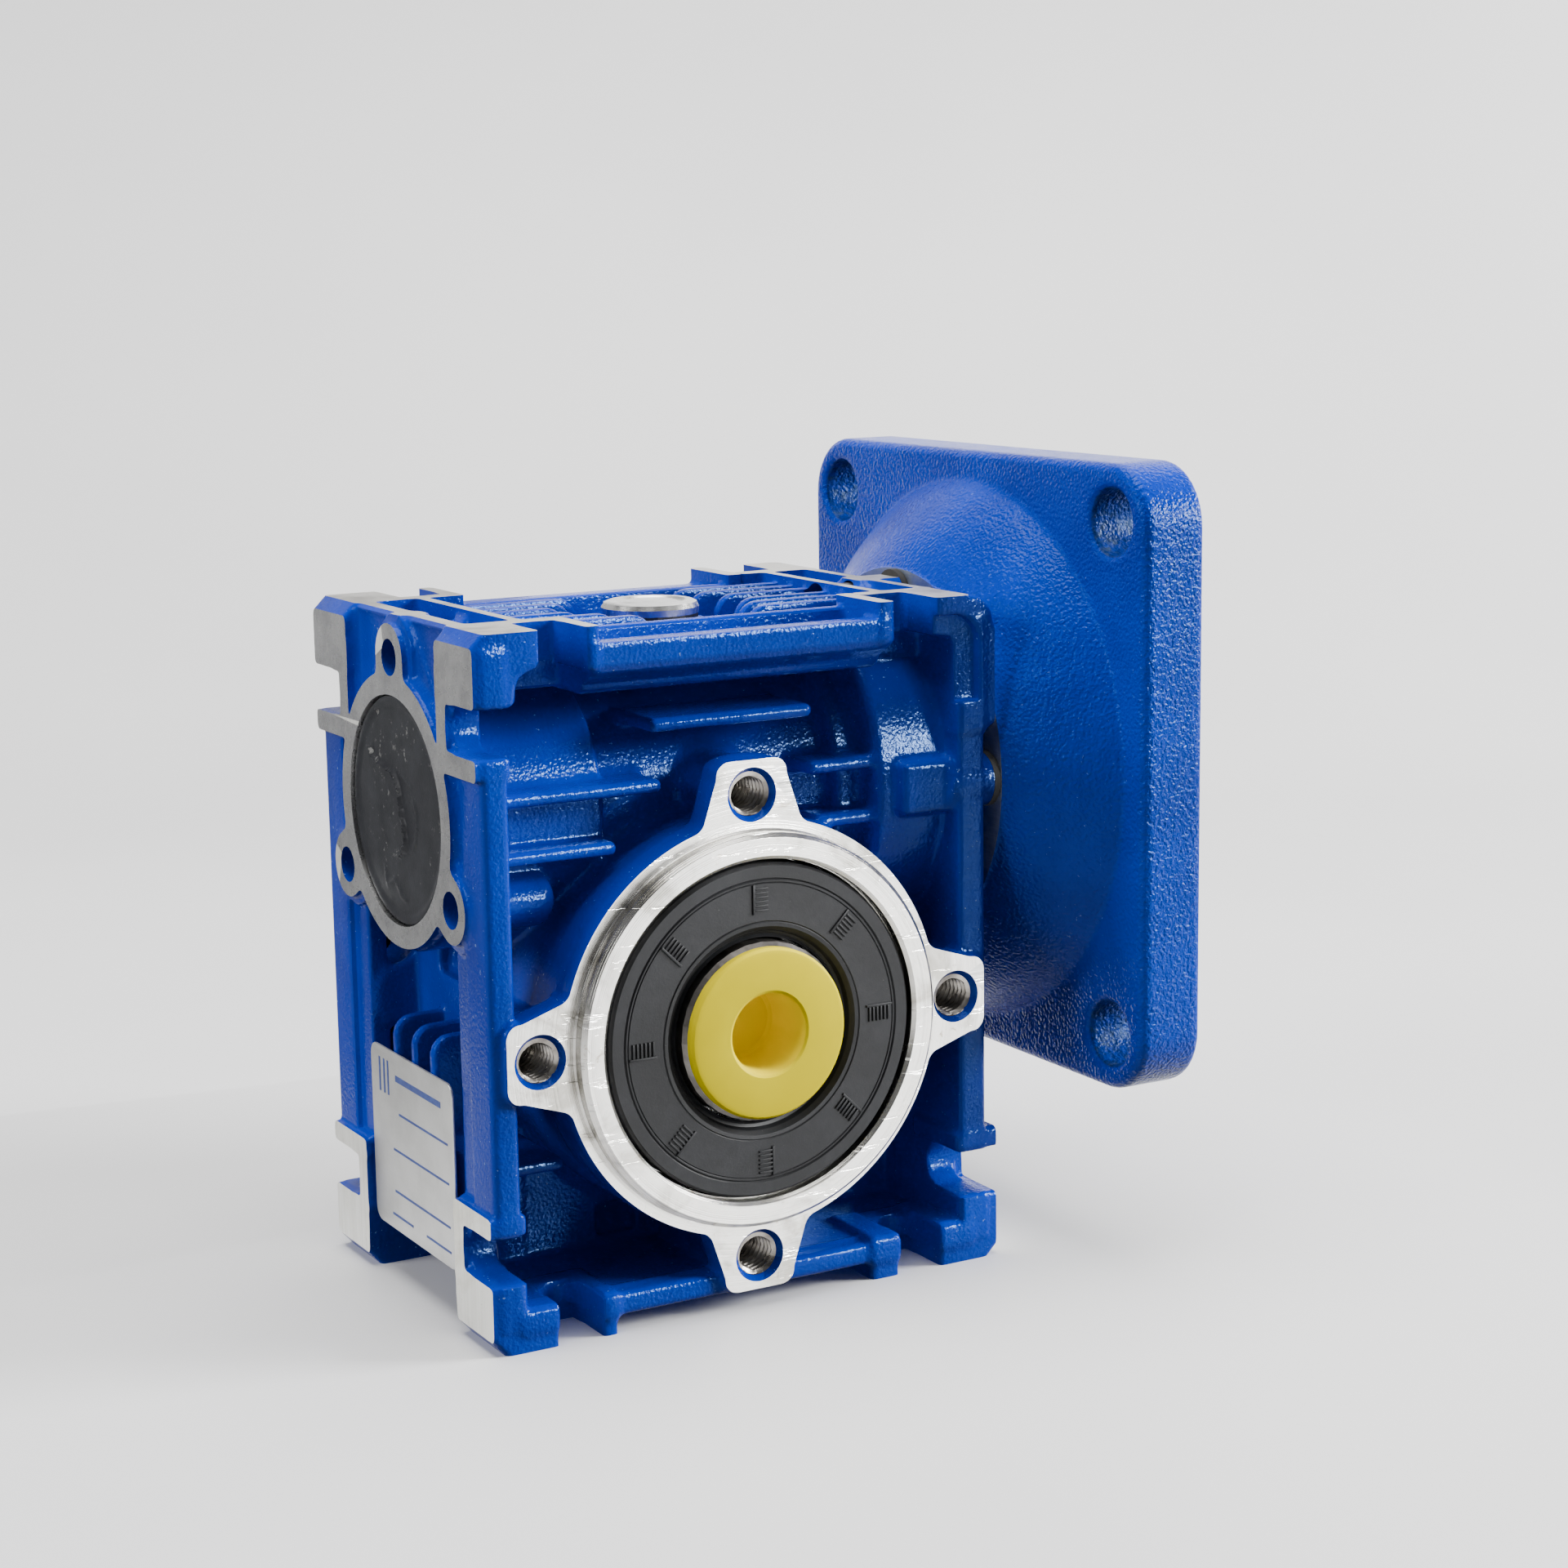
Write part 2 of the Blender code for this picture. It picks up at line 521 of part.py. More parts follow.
wheel = loft("worm_wheel_rim", [wheel_section(y) for y in (-6.5, -3.8, 0, 3.8, 6.5)], BRONZE, tool=False)
cut(wheel, cyl("cut_wheel_bore", "Y", (0, 0, OUT_Z), 18.0 + GAP, -9, 9, 32))

# ------------------------------------------------------------------ worm shaft
worm = turned(
    "worm_shaft", "X", (0, 0, WORM_Z),
    [(0, 44), (IN_JOURNAL_R - 0.5, 44), (IN_JOURNAL_R, 43.5), (IN_JOURNAL_R, 22.9), (12.0, 22.9), (12.0, 19.5), (8.8, 16.0), (6.0, 14.4), (5.0, 12.0),
     (5.0, -12.0), (6.0, -14.6), (8.9, -17.0), (8.9, -24.1), (REAR_JOURNAL_R, -24.1), (REAR_JOURNAL_R, -34.8), (REAR_JOURNAL_R - 0.5, -35.3), (0, -35.3)],
    28, BARE,
)


def thread_section(x):
    """A cut across the two-start thread. At x = 0 one thread's middle points down."""
    half_tip = THREAD_THICKNESS / 2 - MODULE * PRESSURE_TAN
    half_root = THREAD_THICKNESS / 2 + 1.2 * MODULE * PRESSURE_TAN
    tip, root = (2 * math.pi * half / LEAD for half in (half_tip, half_root))
    points = []
    for start in range(WORM_STARTS):
        base = -math.pi / 2 + 2 * math.pi * (start / WORM_STARTS + x / LEAD)
        for radius, angle in ((WORM_ROOT_R, -root), (WORM_TIP_R, -tip), (WORM_TIP_R, tip), (WORM_ROOT_R, root)):
            points.append(Vector((x, radius * math.cos(base + angle), WORM_Z + radius * math.sin(base + angle))) * MM)
    return points


STEPS_PER_TURN = 12
count = math.ceil(2 * WORM_HALF / LEAD * STEPS_PER_TURN)
thread = loft("worm_thread", [thread_section(-WORM_HALF + 2 * WORM_HALF * i / count) for i in range(count + 1)])
join(worm, thread)
cut(worm, cyl("cut_input_bore", "X", (0, 0, WORM_Z), IN_BORE_R, 20, 46, 24), box("cut_input_keyway", (24, -2, WORM_Z), (46, 2, WORM_Z + 7.3)))
smooth(worm)


# -------------------------------------------------------------------- bearings
def bearing(name, axis, centre, a0, a1, bore_r, inner_r, ball_r, pitch_r, balls, race_r, outer_r, segments):
    """An outer ring, and an inner ring with its balls set into it."""
    turned(
        name + "_outer_ring", axis, centre,
        [(outer_r, a1), (outer_r, a0), (race_r, a0), (race_r, a1)],
        segments, BARE,
    )
    smooth(bpy.data.objects[name + "_outer_ring"])
    inner = turned(
        name + "_inner_ring", axis, centre,
        [(inner_r, a1), (inner_r, a0), (bore_r, a0), (bore_r, a1)],
        segments, BARE,
    )
    bm = bmesh.new()
    for k in range(balls):
        made = bmesh.ops.create_uvsphere(bm, u_segments=6, v_segments=4, radius=ball_r * MM)["verts"]
        angle = 2 * math.pi * (k + 0.5) / balls
        bmesh.ops.rotate(bm, cent=(0, 0, 0), matrix=Matrix.Rotation(angle, 3, "Z"), verts=made)
        bmesh.ops.translate(bm, vec=(pitch_r * math.cos(angle) * MM, pitch_r * math.sin(angle) * MM, (a0 + a1) / 2 * MM), verts=made)
    bmesh.ops.transform(bm, matrix=Matrix.Translation(Vector(centre) * MM) @ TURN[axis], verts=bm.verts)
    join(inner, from_bmesh(name + "_balls", bm))
    return smooth(inner)


OUT = (0, 0, OUT_Z)
WORM = (0, 0, WORM_Z)
bearing("output_front_bearing", "Y", OUT, -23.5, -11.5, OUT_JOURNAL_R + GAP, 16.2, 2.45, 18.0, 8, 20.8, OUT_SEAT_R, 26)
bearing("output_rear_bearing", "Y", OUT, 11.5, 23.5, OUT_JOURNAL_R + GAP, 16.2, 2.45, 18.0, 8, 20.8, OUT_SEAT_R, 26)
bearing("worm_front_bearing", "X", WORM, 23.2, 32.2, IN_JOURNAL_R + GAP, 12.9, 2.1, 14.4, 8, 16.8, IN_SEAT_R, 24)
bearing("worm_rear_bearing", "X", WORM, -33.4, -24.4, REAR_JOURNAL_R + GAP, 10.2, 1.95, 11.7, 7, 14.0, REAR_SEAT_R, 24)


# ----------------------------------------------------------------- seals, caps
def seal(name, axis, centre, face, back, lip_r, outer_r, segments):
    """A lipped shaft seal: its face is dished between the lip and the outer wall."""
    way = 1 if face > back else -1
    profile = [
        (outer_r, face), (outer_r, back), (lip_r + 0.1, back), (lip_r + 0.1, face - way * 0.6),
        (outer_r - 2.6, face - way * 0.6), (outer_r - 2.2, face),
    ]
    return smooth(turned(name, axis, centre, profile if way > 0 else profile[::-1], segments, RUBBER))


seal("output_front_seal", "Y", OUT, -30.9, -23.9, OUT_JOURNAL_R + 0.2, OUT_SEAT_R, 32)
seal("output_rear_seal", "Y", OUT, 30.9, 23.9, OUT_JOURNAL_R + 0.2, OUT_SEAT_R, 32)
seal("input_oil_seal", "X", WORM, 39.7, 34.4, IN_JOURNAL_R + 0.2, IN_SEAT_R, 26)

smooth(turned(
    "rear_end_cap", "X", WORM,
    [(0, -36.9), (13.0, -36.9), (13.4, -34.9), (16.0, -34.9), (16.0, -39.1), (15.5, -39.6), (0, -39.6)],
    32, CAP_RUBBER,
))
turned("rear_bearing_shim", "X", WORM, [(16.0, -33.8), (16.0, -34.4), (13.9, -34.4), (13.9, -33.8)], 22, ZINC)


def open_ring(name, axis_r0, axis_r1, start, end, gap_degrees, turn):
    """A retaining ring: a flat ring with a gap, thicker at its two eyes."""
    half = gap_degrees / 2
    outer = arc(0, WORM_Z, axis_r1, turn + half, turn + 360 - half, 18)
    inner = arc(0, WORM_Z, axis_r0, turn + 360 - half, turn + half, 18)
    return outline(name, [outer + inner], "X", start, end, tool=False, mat=BLACK_STEEL)


open_ring("worm_bore_circlip", 15.9, 18.5, 32.6, 33.9, 40, 90)
open_ring("worm_shaft_circlip", 7.8, 9.6, -34.8, -33.8, 50, 90)

# Yellow plugs that close the hollow shaft for transport.
for name, way in (("front_shaft_plug", -1), ("rear_shaft_plug", 1)):
    profile = [(0, 21.5), (4.2, 21.5), (5.4, 33.0), (12.0, 33.0), (12.0, 31.8), (6.6, 31.8), (6.2, 19.8), (0, 19.8)]
    profile = [(r, way * a) for r, a in profile]
    smooth(turned(name, "Y", OUT, profile if way > 0 else profile[::-1], 24, YELLOW))

plug = turned(
    "oil_filler_plug", "Z", (0, 0, 0),
    [(0, 96.0), (4.3, 96.0), (4.6, 96.3), (6.2, 96.3), (7.0, 95.7), (7.0, 94.9), (4.9, 94.9), (4.9, 86.6), (4.4, 86.0), (0, 86.0)], 20, ZINC,
)
smooth(plug)
turned("oil_plug_washer", "Z", (0, 0, 0), [(6.9, 94.6), (6.9, 93.9), (5.2, 93.9), (5.2, 94.6)], 20, PAPER)

outline("nameplate", [[(u, v) for u, v in rounded(-14.5, 7.9, 14.5, 34.4, 2.2, 2)]], "X", -39.2, -38.8, tool=False, mat=SILVER)

# ---------------------------------------------------------------- motor flange
flange = turned(
    "input_flange", "X", WORM,
    [(22.0, 62.0), (REGISTER_R, 62.0), (REGISTER_R, 54.0), (40.6, 51.6), (37.9, 48.2), (33.6, 44.4), (HUB_R, 42.0),
     (HUB_R, 41.1), (13.0, 41.1), (13.0, 46.5), (22.0, 46.5)],
    36, BLUE,
)
join(flange, outline(
    "flange_plate", [rounded(-PLATE_HALF, WORM_Z - PLATE_HALF, PLATE_HALF, WORM_Z + PLATE_HALF, PLATE_CORNER, 4)], "X", PLATE_X0, PLATE_X1))
cut(
    flange,
    turned(
        "cut_bell", "X", WORM,
        [(0, 66), (REGISTER_R, 66), (REGISTER_R, 59.4), (37.0, 59.4), (35.8, 53.0), (29.4, 46.0), (0, 46.0)], 36, tool=True,
    ),
    cyl("cut_flange_bore", "X", WORM, 15.0, 40, 47, 24),
)
for i, (a, b) in enumerate(((1, 1), (-1, 1), (-1, -1), (1, -1))):
    cut(flange, cyl(f"cut_plate_hole_{i}", "X", (0, a * PLATE_BOLT, WORM_Z + b * PLATE_BOLT), PLATE_HOLE_R, 50, 66, 16))
for i, turn in enumerate((90, 180, 270, 0)):
    y = FLANGE_SCREW_R * math.cos(math.radians(turn))
    z = WORM_Z + FLANGE_SCREW_R * math.sin(math.radians(turn))
    cut(flange, cyl(f"cut_flange_clear_{i}", "X", (0, y, z), 2.8, 40, 47, 8))
    cap_screw(f"flange_screw_{i + 1}", "X", (0, y, z), 46.3, 51.3, 4.2, 2.4, 29.5, 2.1, ZINC)
smooth(flange)

gasket = turned("flange_gasket", "X", WORM, [(27.6, 40.8), (27.6, 40.3), (19.4, 40.3), (19.4, 40.8)], 28, PAPER)
for i, turn in enumerate((90, 180, 270, 0)):
    y = FLANGE_SCREW_R * math.cos(math.radians(turn))
    z = WORM_Z + FLANGE_SCREW_R * math.sin(math.radians(turn))
    cut(gasket, cyl(f"cut_gasket_{i}", "X", (0, y, z), 2.8, 39, 42, 8))

# ------------------------------------------------------------- origins, frame
# The two turning groups get their origins on their joints' axes.
WHEEL_GROUP = (
    "output_hollow_shaft", "worm_wheel_rim", "output_front_bearing_inner_ring", "output_rear_bearing_inner_ring",
    "front_shaft_plug", "rear_shaft_plug",
)
WORM_GROUP = ("worm_shaft", "worm_front_bearing_inner_ring", "worm_rear_bearing_inner_ring", "worm_shaft_circlip")


def move_origin(obj, point):
    """Puts an object's origin at a point of its joint's axis and leaves the shape where it is."""
    world = obj.matrix_world.copy()
    if (world.translation - point).length < 1e-9:
        return
    target = world.copy()
    target.translation = point
    obj.data.transform(target.inverted() @ world)
    obj.matrix_world = target


gearbox = bpy.data.objects.new("gearbox_frame", None)
PARTS.objects.link(gearbox)
bpy.context.view_layer.update()
for name in WHEEL_GROUP:
    move_origin(bpy.data.objects[name], Vector(OUT) * MM)
for name in WORM_GROUP:
    move_origin(bpy.data.objects[name], Vector(WORM) * MM)
wheel_axis = bpy.data.objects.new("wheel_axis", None)
worm_axis = bpy.data.objects.new("worm_axis", None)
for empty, point in ((wheel_axis, OUT), (worm_axis, WORM)):
    PARTS.objects.link(empty)
    empty.location = Vector(point) * MM
bpy.context.view_layer.update()
for obj in list(PARTS.objects) + list(TOOLS.objects):
    if obj is gearbox:
        continue
    parent = wheel_axis if obj.name in WHEEL_GROUP else worm_axis if obj.name in WORM_GROUP else gearbox
    if obj in (wheel_axis, worm_axis):
        parent = gearbox
    obj.parent = parent
    obj.matrix_parent_inverse = parent.matrix_world.inverted()
gearbox.location.x = -OFFSET_X * MM
bpy.context.view_layer.update()
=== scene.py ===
import math

import bmesh
import bpy
import numpy as np
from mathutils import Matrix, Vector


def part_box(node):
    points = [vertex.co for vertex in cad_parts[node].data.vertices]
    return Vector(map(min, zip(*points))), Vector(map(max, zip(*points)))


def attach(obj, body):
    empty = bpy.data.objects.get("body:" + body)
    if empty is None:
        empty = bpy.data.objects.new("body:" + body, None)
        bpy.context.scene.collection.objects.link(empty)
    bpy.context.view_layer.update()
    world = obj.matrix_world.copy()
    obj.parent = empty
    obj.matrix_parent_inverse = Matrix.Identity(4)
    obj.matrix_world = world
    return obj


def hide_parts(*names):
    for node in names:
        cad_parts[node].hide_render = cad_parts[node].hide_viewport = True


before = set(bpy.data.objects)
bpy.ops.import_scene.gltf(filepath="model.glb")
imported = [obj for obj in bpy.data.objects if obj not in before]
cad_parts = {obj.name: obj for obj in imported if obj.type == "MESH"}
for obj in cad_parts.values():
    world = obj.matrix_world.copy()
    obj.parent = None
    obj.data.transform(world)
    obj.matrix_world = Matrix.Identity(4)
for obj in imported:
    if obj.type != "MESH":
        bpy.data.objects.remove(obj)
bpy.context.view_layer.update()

import openvdb
from mathutils import Matrix, Vector

# Shapes are worked out in millimetres, with x, y = 0 on the gearbox's own
# axes and z = 0 at its feet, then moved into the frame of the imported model.
MM = 0.001
SHIFT = -11.7
OUT_Z = 40.0
WORM_Z = 70.0
STEP = 0.38


# ------------------------------------------------------------ distance fields
def rounded_max(one, two, r):
    if r <= 0:
        return np.maximum(one, two)
    u = np.maximum(one + r, 0)
    v = np.maximum(two + r, 0)
    return np.minimum(np.maximum(one, two), -r) + np.sqrt(u * u + v * v)


def polygon(loop, u, v):
    """Signed distance of the points (u, v) to a closed outline."""
    u, v = np.broadcast_arrays(u, v)
    best = np.full(u.shape, 1e9, np.float32)
    side = np.ones(u.shape, np.float32)
    count = len(loop)
    for i in range(count):
        ax, ay = loop[i]
        bx, by = loop[(i + 1) % count]
        ex, ey = bx - ax, by - ay
        if ex * ex + ey * ey < 1e-12:
            continue
        wx, wy = u - ax, v - ay
        t = np.clip((wx * ex + wy * ey) / (ex * ex + ey * ey), 0, 1)
        dx, dy = wx - ex * t, wy - ey * t
        best = np.minimum(best, dx * dx + dy * dy)
        one, two, three = v >= ay, v < by, ex * wy > ey * wx
        flip = (one & two & three) | (~one & ~two & ~three)
        side = np.where(flip, -side, side)
    return (side * np.sqrt(best)).astype(np.float32)


def box(low, high, r=0.6):
    low, high = np.minimum(low, high), np.maximum(low, high)
    mid, half = (low + high) / 2, (high - low) / 2

    def distance(x, y, z):
        q = [np.abs(p - m) - (h - r) for p, m, h in zip((x, y, z), mid, half)]
        outside = np.sqrt(sum(np.maximum(p, 0) ** 2 for p in q))
        inside = np.minimum(np.maximum(np.maximum(q[0], q[1]), q[2]), 0)
        return outside + inside - r

    return low, high, distance


def prism(axis, loop, start, end, r=0.0):
    """An outline extruded along an axis: (y, z), (x, z) or (x, y) points."""
    i = "XYZ".index(axis)
    a, b = [j for j in range(3) if j != i]
    low, high = np.zeros(3), np.zeros(3)
    low[i], high[i] = min(start, end), max(start, end)
    low[a], high[a] = min(p[0] for p in loop), max(p[0] for p in loop)
    low[b], high[b] = min(p[1] for p in loop), max(p[1] for p in loop)
    mid, half = (start + end) / 2, abs(end - start) / 2

    def distance(*points):
        flat = polygon(loop, points[a], points[b])
        deep = np.abs(points[i] - mid) - half
        return rounded_max(flat, deep, r)

    return low, high, distance


def cyl(axis, centre, radius, start, end, r=0.6, radius2=None):
    """A cylinder or cone: centre is its (u, v) place across the axis."""
    i = "XYZ".index(axis)
    a, b = [j for j in range(3) if j != i]
    big = max(radius, radius if radius2 is None else radius2)
    low, high = np.zeros(3), np.zeros(3)
    low[i], high[i] = min(start, end), max(start, end)
    low[a], high[a] = centre[0] - big, centre[0] + big
    low[b], high[b] = centre[1] - big, centre[1] + big

    def distance(*points):
        out = np.sqrt((points[a] - centre[0]) ** 2 + (points[b] - centre[1]) ** 2)
        along = points[i]
        if radius2 is None:
            wall = out - radius
        else:
            slope = (radius2 - radius) / (end - start)
            wall = (out - radius - slope * (along - start)) / math.sqrt(1 + slope * slope)
        deep = np.abs(along - (start + end) / 2) - abs(end - start) / 2
        return rounded_max(wall, deep, r)

    return low, high, distance


def revolved(axis, centre, profile):
    """A turned shape from a closed (radius, place along the axis) outline."""
    i = "XYZ".index(axis)
    a, b = [j for j in range(3) if j != i]
    big = max(p[0] for p in profile)
    low, high = np.zeros(3), np.zeros(3)
    low[i], high[i] = min(p[1] for p in profile), max(p[1] for p in profile)
    low[a], high[a] = centre[0] - big, centre[0] + big
    low[b], high[b] = centre[1] - big, centre[1] + big

    def distance(*points):
        out = np.sqrt((points[a] - centre[0]) ** 2 + (points[b] - centre[1]) ** 2)
        shape = np.broadcast_shapes(out.shape, points[i].shape)
        fine = 0.1
        reach = np.arange(0, float(out.max()) + 2 * fine, fine, dtype=np.float32)
        table = polygon(profile, reach[None, :], np.ravel(points[i])[:, None])
        place = np.squeeze(out, axis=i) / fine
        lower = place.astype(np.int32)
        part = (place - lower).astype(np.float32)
        values = table[:, lower] * (1 - part) + table[:, lower + 1] * part
        return np.moveaxis(values, 0, i).reshape(shape)

    return low, high, distance


def ball(centre, radius):
    centre = np.array(centre, float)
    return centre - radius, centre + radius, lambda x, y, z: np.sqrt((x - centre[0]) ** 2 + (y - centre[1]) ** 2 + (z - centre[2]) ** 2) - radius


class Field:
    def __init__(self, low, high, step):
        self.low, self.step = np.array(low, float), step
        self.size = [int(math.ceil((h - l) / step)) + 1 for l, h in zip(low, high)]
        self.values = np.full(self.size, 6.0, np.float32)
        self.marks = [(l + step * np.arange(n)).astype(np.float32) for l, n in zip(low, self.size)]

    def part(self, low, high, margin):
        cuts = []
        for i in range(3):
            first = int((low[i] - margin - self.low[i]) / self.step)
            last = int((high[i] + margin - self.low[i]) / self.step) + 2
            cuts.append(slice(max(first, 0), max(min(last, self.size[i]), 1)))
        grids = [
            self.marks[0][cuts[0]][:, None, None],
            self.marks[1][cuts[1]][None, :, None],
            self.marks[2][cuts[2]][None, None, :],
        ]
        return tuple(cuts), grids

    def add(self, shape, r=0.0):
        low, high, distance = shape
        cuts, grids = self.part(low, high, r + 3 * self.step)
        other = distance(*grids).astype(np.float32)
        self.values[cuts] = -rounded_max(-self.values[cuts], -other, r)

    def cut(self, shape, r=0.0):
        low, high, distance = shape
        cuts, grids = self.part(low, high, r + 3 * self.step)
        other = distance(*grids).astype(np.float32)
        self.values[cuts] = rounded_max(self.values[cuts], -other, r)

    def surface(self, name):
        grid = openvdb.FloatGrid(6.0)
        grid.copyFromArray(self.values)
        points, quads = grid.convertToQuads(isovalue=0.0)
        points = points.astype(np.float64) * self.step + self.low
        mesh = bpy.data.meshes.new(name)
        mesh.vertices.add(len(points))
        mesh.vertices.foreach_set("co", points.ravel().astype(np.float32))
        mesh.loops.add(quads.size)
        mesh.loops.foreach_set("vertex_index", quads.ravel().astype(np.int32))
        mesh.polygons.add(len(quads))
        mesh.polygons.foreach_set("loop_start", np.arange(0, quads.size, 4, dtype=np.int32))
        mesh.update(calc_edges=True)
        mesh.validate()
        one = points[quads[:, 0]]
        sides = np.cross(points[quads[:, 2]] - one, points[quads[:, 3]] - points[quads[:, 1]])
        if float((sides * one).sum()) < 0:
            mesh.flip_normals()
        return linked(name, mesh)


# ------------------------------------------------------------------- meshes
def linked(name, mesh):
    obj = bpy.data.objects.new(name, mesh)
    bpy.context.scene.collection.objects.link(obj)
    return obj


def discard(obj):
    mesh = obj.data
    bpy.data.objects.remove(obj, do_unlink=True)
    if mesh.users == 0:
        bpy.data.meshes.remove(mesh)


def bake_modifiers(obj):
    """The object's mesh as its modifiers leave it."""
    bpy.context.view_layer.update()
    graph = bpy.context.evaluated_depsgraph_get()
    made = bpy.data.meshes.new_from_object(obj.evaluated_get(graph))
    old = obj.data
    obj.modifiers.clear()
    obj.data = made
    if old.users == 0:
        bpy.data.meshes.remove(old)
    return obj


def boolean(obj, tool, operation, solver="MANIFOLD"):
    before = len(obj.data.polygons)
    step = obj.modifiers.new("step", "BOOLEAN")
    step.operation = operation
    step.solver = solver
    step.object = tool
    bpy.context.view_layer.update()
    graph = bpy.context.evaluated_depsgraph_get()
    count = len(obj.evaluated_get(graph).data.polygons)
    if solver == "MANIFOLD" and (count == 0 or count == before):
        step.solver = "EXACT"
        print("boolean fell back to the exact solver:", obj.name, operation, tool.name)
    bake_modifiers(obj)
    discard(tool)
    return obj


def from_bmesh(name, bm):
    bmesh.ops.recalc_face_normals(bm, faces=bm.faces)
    mesh = bpy.data.meshes.new(name)
    bm.to_mesh(mesh)
    bm.free()
    return linked(name, mesh)


def joined(name, objects):
    bm = bmesh.new()
    for obj in objects:
        bm.from_mesh(obj.data)
        discard(obj)
    mesh = bpy.data.meshes.new(name)
    bm.to_mesh(mesh)
    bm.free()
    return linked(name, mesh)


def block(name, low, high):
    bm = bmesh.new()
    bmesh.ops.create_cube(bm, size=1)
    bmesh.ops.scale(bm, vec=[b - a for a, b in zip(low, high)], verts=bm.verts)
    bmesh.ops.translate(bm, vec=[(a + b) / 2 for a, b in zip(low, high)], verts=bm.verts)
    return from_bmesh(name, bm)


def frame_of(axis, centre):
    turn = {
        "X": Matrix(((0, 0, 1), (1, 0, 0), (0, 1, 0))),
        "Y": Matrix(((0, 1, 0), (0, 0, 1), (1, 0, 0))),
        "Z": Matrix.Identity(3),
    }[axis]
    return Matrix.Translation(Vector(centre)) @ turn.to_4x4()


def lathe(name, axis, centre, profile, segments=144):
    """A closed turned body, from (radius, place along the axis[, slot]) points.

    A profile that starts and ends on the axis is a solid, any other is closed
    into a ring. The slot is the material of the band that starts there."""
    bm = bmesh.new()
    solid = profile[0][0] < 1e-6
    rings = []
    for point in profile:
        r, t = point[0], point[1]
        if r < 1e-6:
            rings.append([bm.verts.new((0, 0, t))])
        else:
            rings.append([
                bm.verts.new((r * math.cos(2 * math.pi * k / segments), r * math.sin(2 * math.pi * k / segments), t))
                for k in range(segments)
            ])
    pairs = list(zip(range(len(rings) - 1), range(1, len(rings))))
    if not solid:
        pairs.append((len(rings) - 1, 0))
    for i, j in pairs:
        one, two = rings[i], rings[j]
        slot = profile[i][2] if len(profile[i]) > 2 else 0
        for k in range(segments):
            n = (k + 1) % segments
            corners = [one[k % len(one)], one[n % len(one)], two[n % len(two)], two[k % len(two)]]
            unique = list(dict.fromkeys(corners))
            if len(unique) > 2:
                bm.faces.new(unique).material_index = slot
    bmesh.ops.transform(bm, matrix=frame_of(axis, centre), verts=bm.verts)
    return from_bmesh(name, bm)


def threaded(name, axis, centre, outer, inner, pitch, start, end, segments=64, per_turn=8, mouth=None):
    """A cutter for a tapped hole: a rod with a helical thread on its wall.

    mouth is (radius, depth) of the countersink at the start."""
    bm = bmesh.new()
    step = pitch / per_turn * (1 if end > start else -1)
    count = int(abs(end - start) / abs(step))
    rings = []
    for i in range(count + 1):
        t = start + i * step
        ring = []
        for k in range(segments):
            a = 2 * math.pi * k / segments
            phase = ((t / pitch) - a / (2 * math.pi)) % 1.0
            tooth = min(1.0, max(0.0, 1.6 * (1 - abs(2 * phase - 1)) - 0.3))
            r = inner + (outer - inner) * tooth
            if mouth is not None:
                depth = abs(t - start) - 0.5
                if depth <= mouth[1]:
                    r = max(r, mouth[0] - max(depth, 0) * (mouth[0] - outer) / mouth[1])
            ring.append(bm.verts.new((r * math.cos(a), r * math.sin(a), t)))
        rings.append(ring)
    for one, two in zip(rings, rings[1:]):
        for k in range(segments):
            n = (k + 1) % segments
            bm.faces.new((one[k], one[n], two[n], two[k]))
    for ring, t in ((rings[0], start), (rings[-1], start + count * step + (inner * 0.5 if end > start else -inner * 0.5))):
        tip = bm.verts.new((0, 0, t))
        for k in range(segments):
            bm.faces.new((ring[k], ring[(k + 1) % segments], tip))
    bmesh.ops.transform(bm, matrix=frame_of(axis, centre), verts=bm.verts)
    return from_bmesh(name, bm)


def extruded(name, axis, loop, start, end, bevel=0.0):
    """An outline extruded along an axis, points as in prism, edges bevelled."""
    order = {"X": (1, 2, 0), "Y": (0, 2, 1), "Z": (0, 1, 2)}[axis]

    def at(point, t):
        co = [0, 0, 0]
        co[order[0]], co[order[1]], co[order[2]] = point[0], point[1], t
        return co

    bm = bmesh.new()
    face = bm.faces.new([bm.verts.new(at(p, start)) for p in loop])
    made = bmesh.ops.extrude_face_region(bm, geom=[face])
    shift = [0, 0, 0]
    shift[order[2]] = end - start
    bmesh.ops.translate(bm, vec=shift, verts=[v for v in made["geom"] if isinstance(v, bmesh.types.BMVert)])
    bmesh.ops.recalc_face_normals(bm, faces=bm.faces)
    if bevel > 0:
        rims = [e for e in bm.edges if abs(e.verts[0].co[order[2]] - e.verts[1].co[order[2]]) < 1e-6]
        bmesh.ops.bevel(bm, geom=rims, offset=bevel, segments=2, profile=0.5, affect="EDGES", clamp_overlap=True)
    return from_bmesh(name, bm)


def arc(cx, cy, r, a0, a1, steps=8):
    return [
        (cx + r * math.cos(math.radians(a0 + (a1 - a0) * i / steps)), cy + r * math.sin(math.radians(a0 + (a1 - a0) * i / steps)))
        for i in range(steps + 1)
    ]


def turned_loop(loop, degrees, cx, cy):
    c, s = math.cos(math.radians(degrees)), math.sin(math.radians(degrees))
    return [(cx + x * c - y * s, cy + x * s + y * c) for x, y in loop]


def rounded_rect(x0, y0, x1, y1, r, steps=8):
    return (
        arc(x1 - r, y0 + r, r, -90, 0, steps) + arc(x1 - r, y1 - r, r, 0, 90, steps)
        + arc(x0 + r, y1 - r, r, 90, 180, steps) + arc(x0 + r, y0 + r, r, 180, 270, steps)
    )


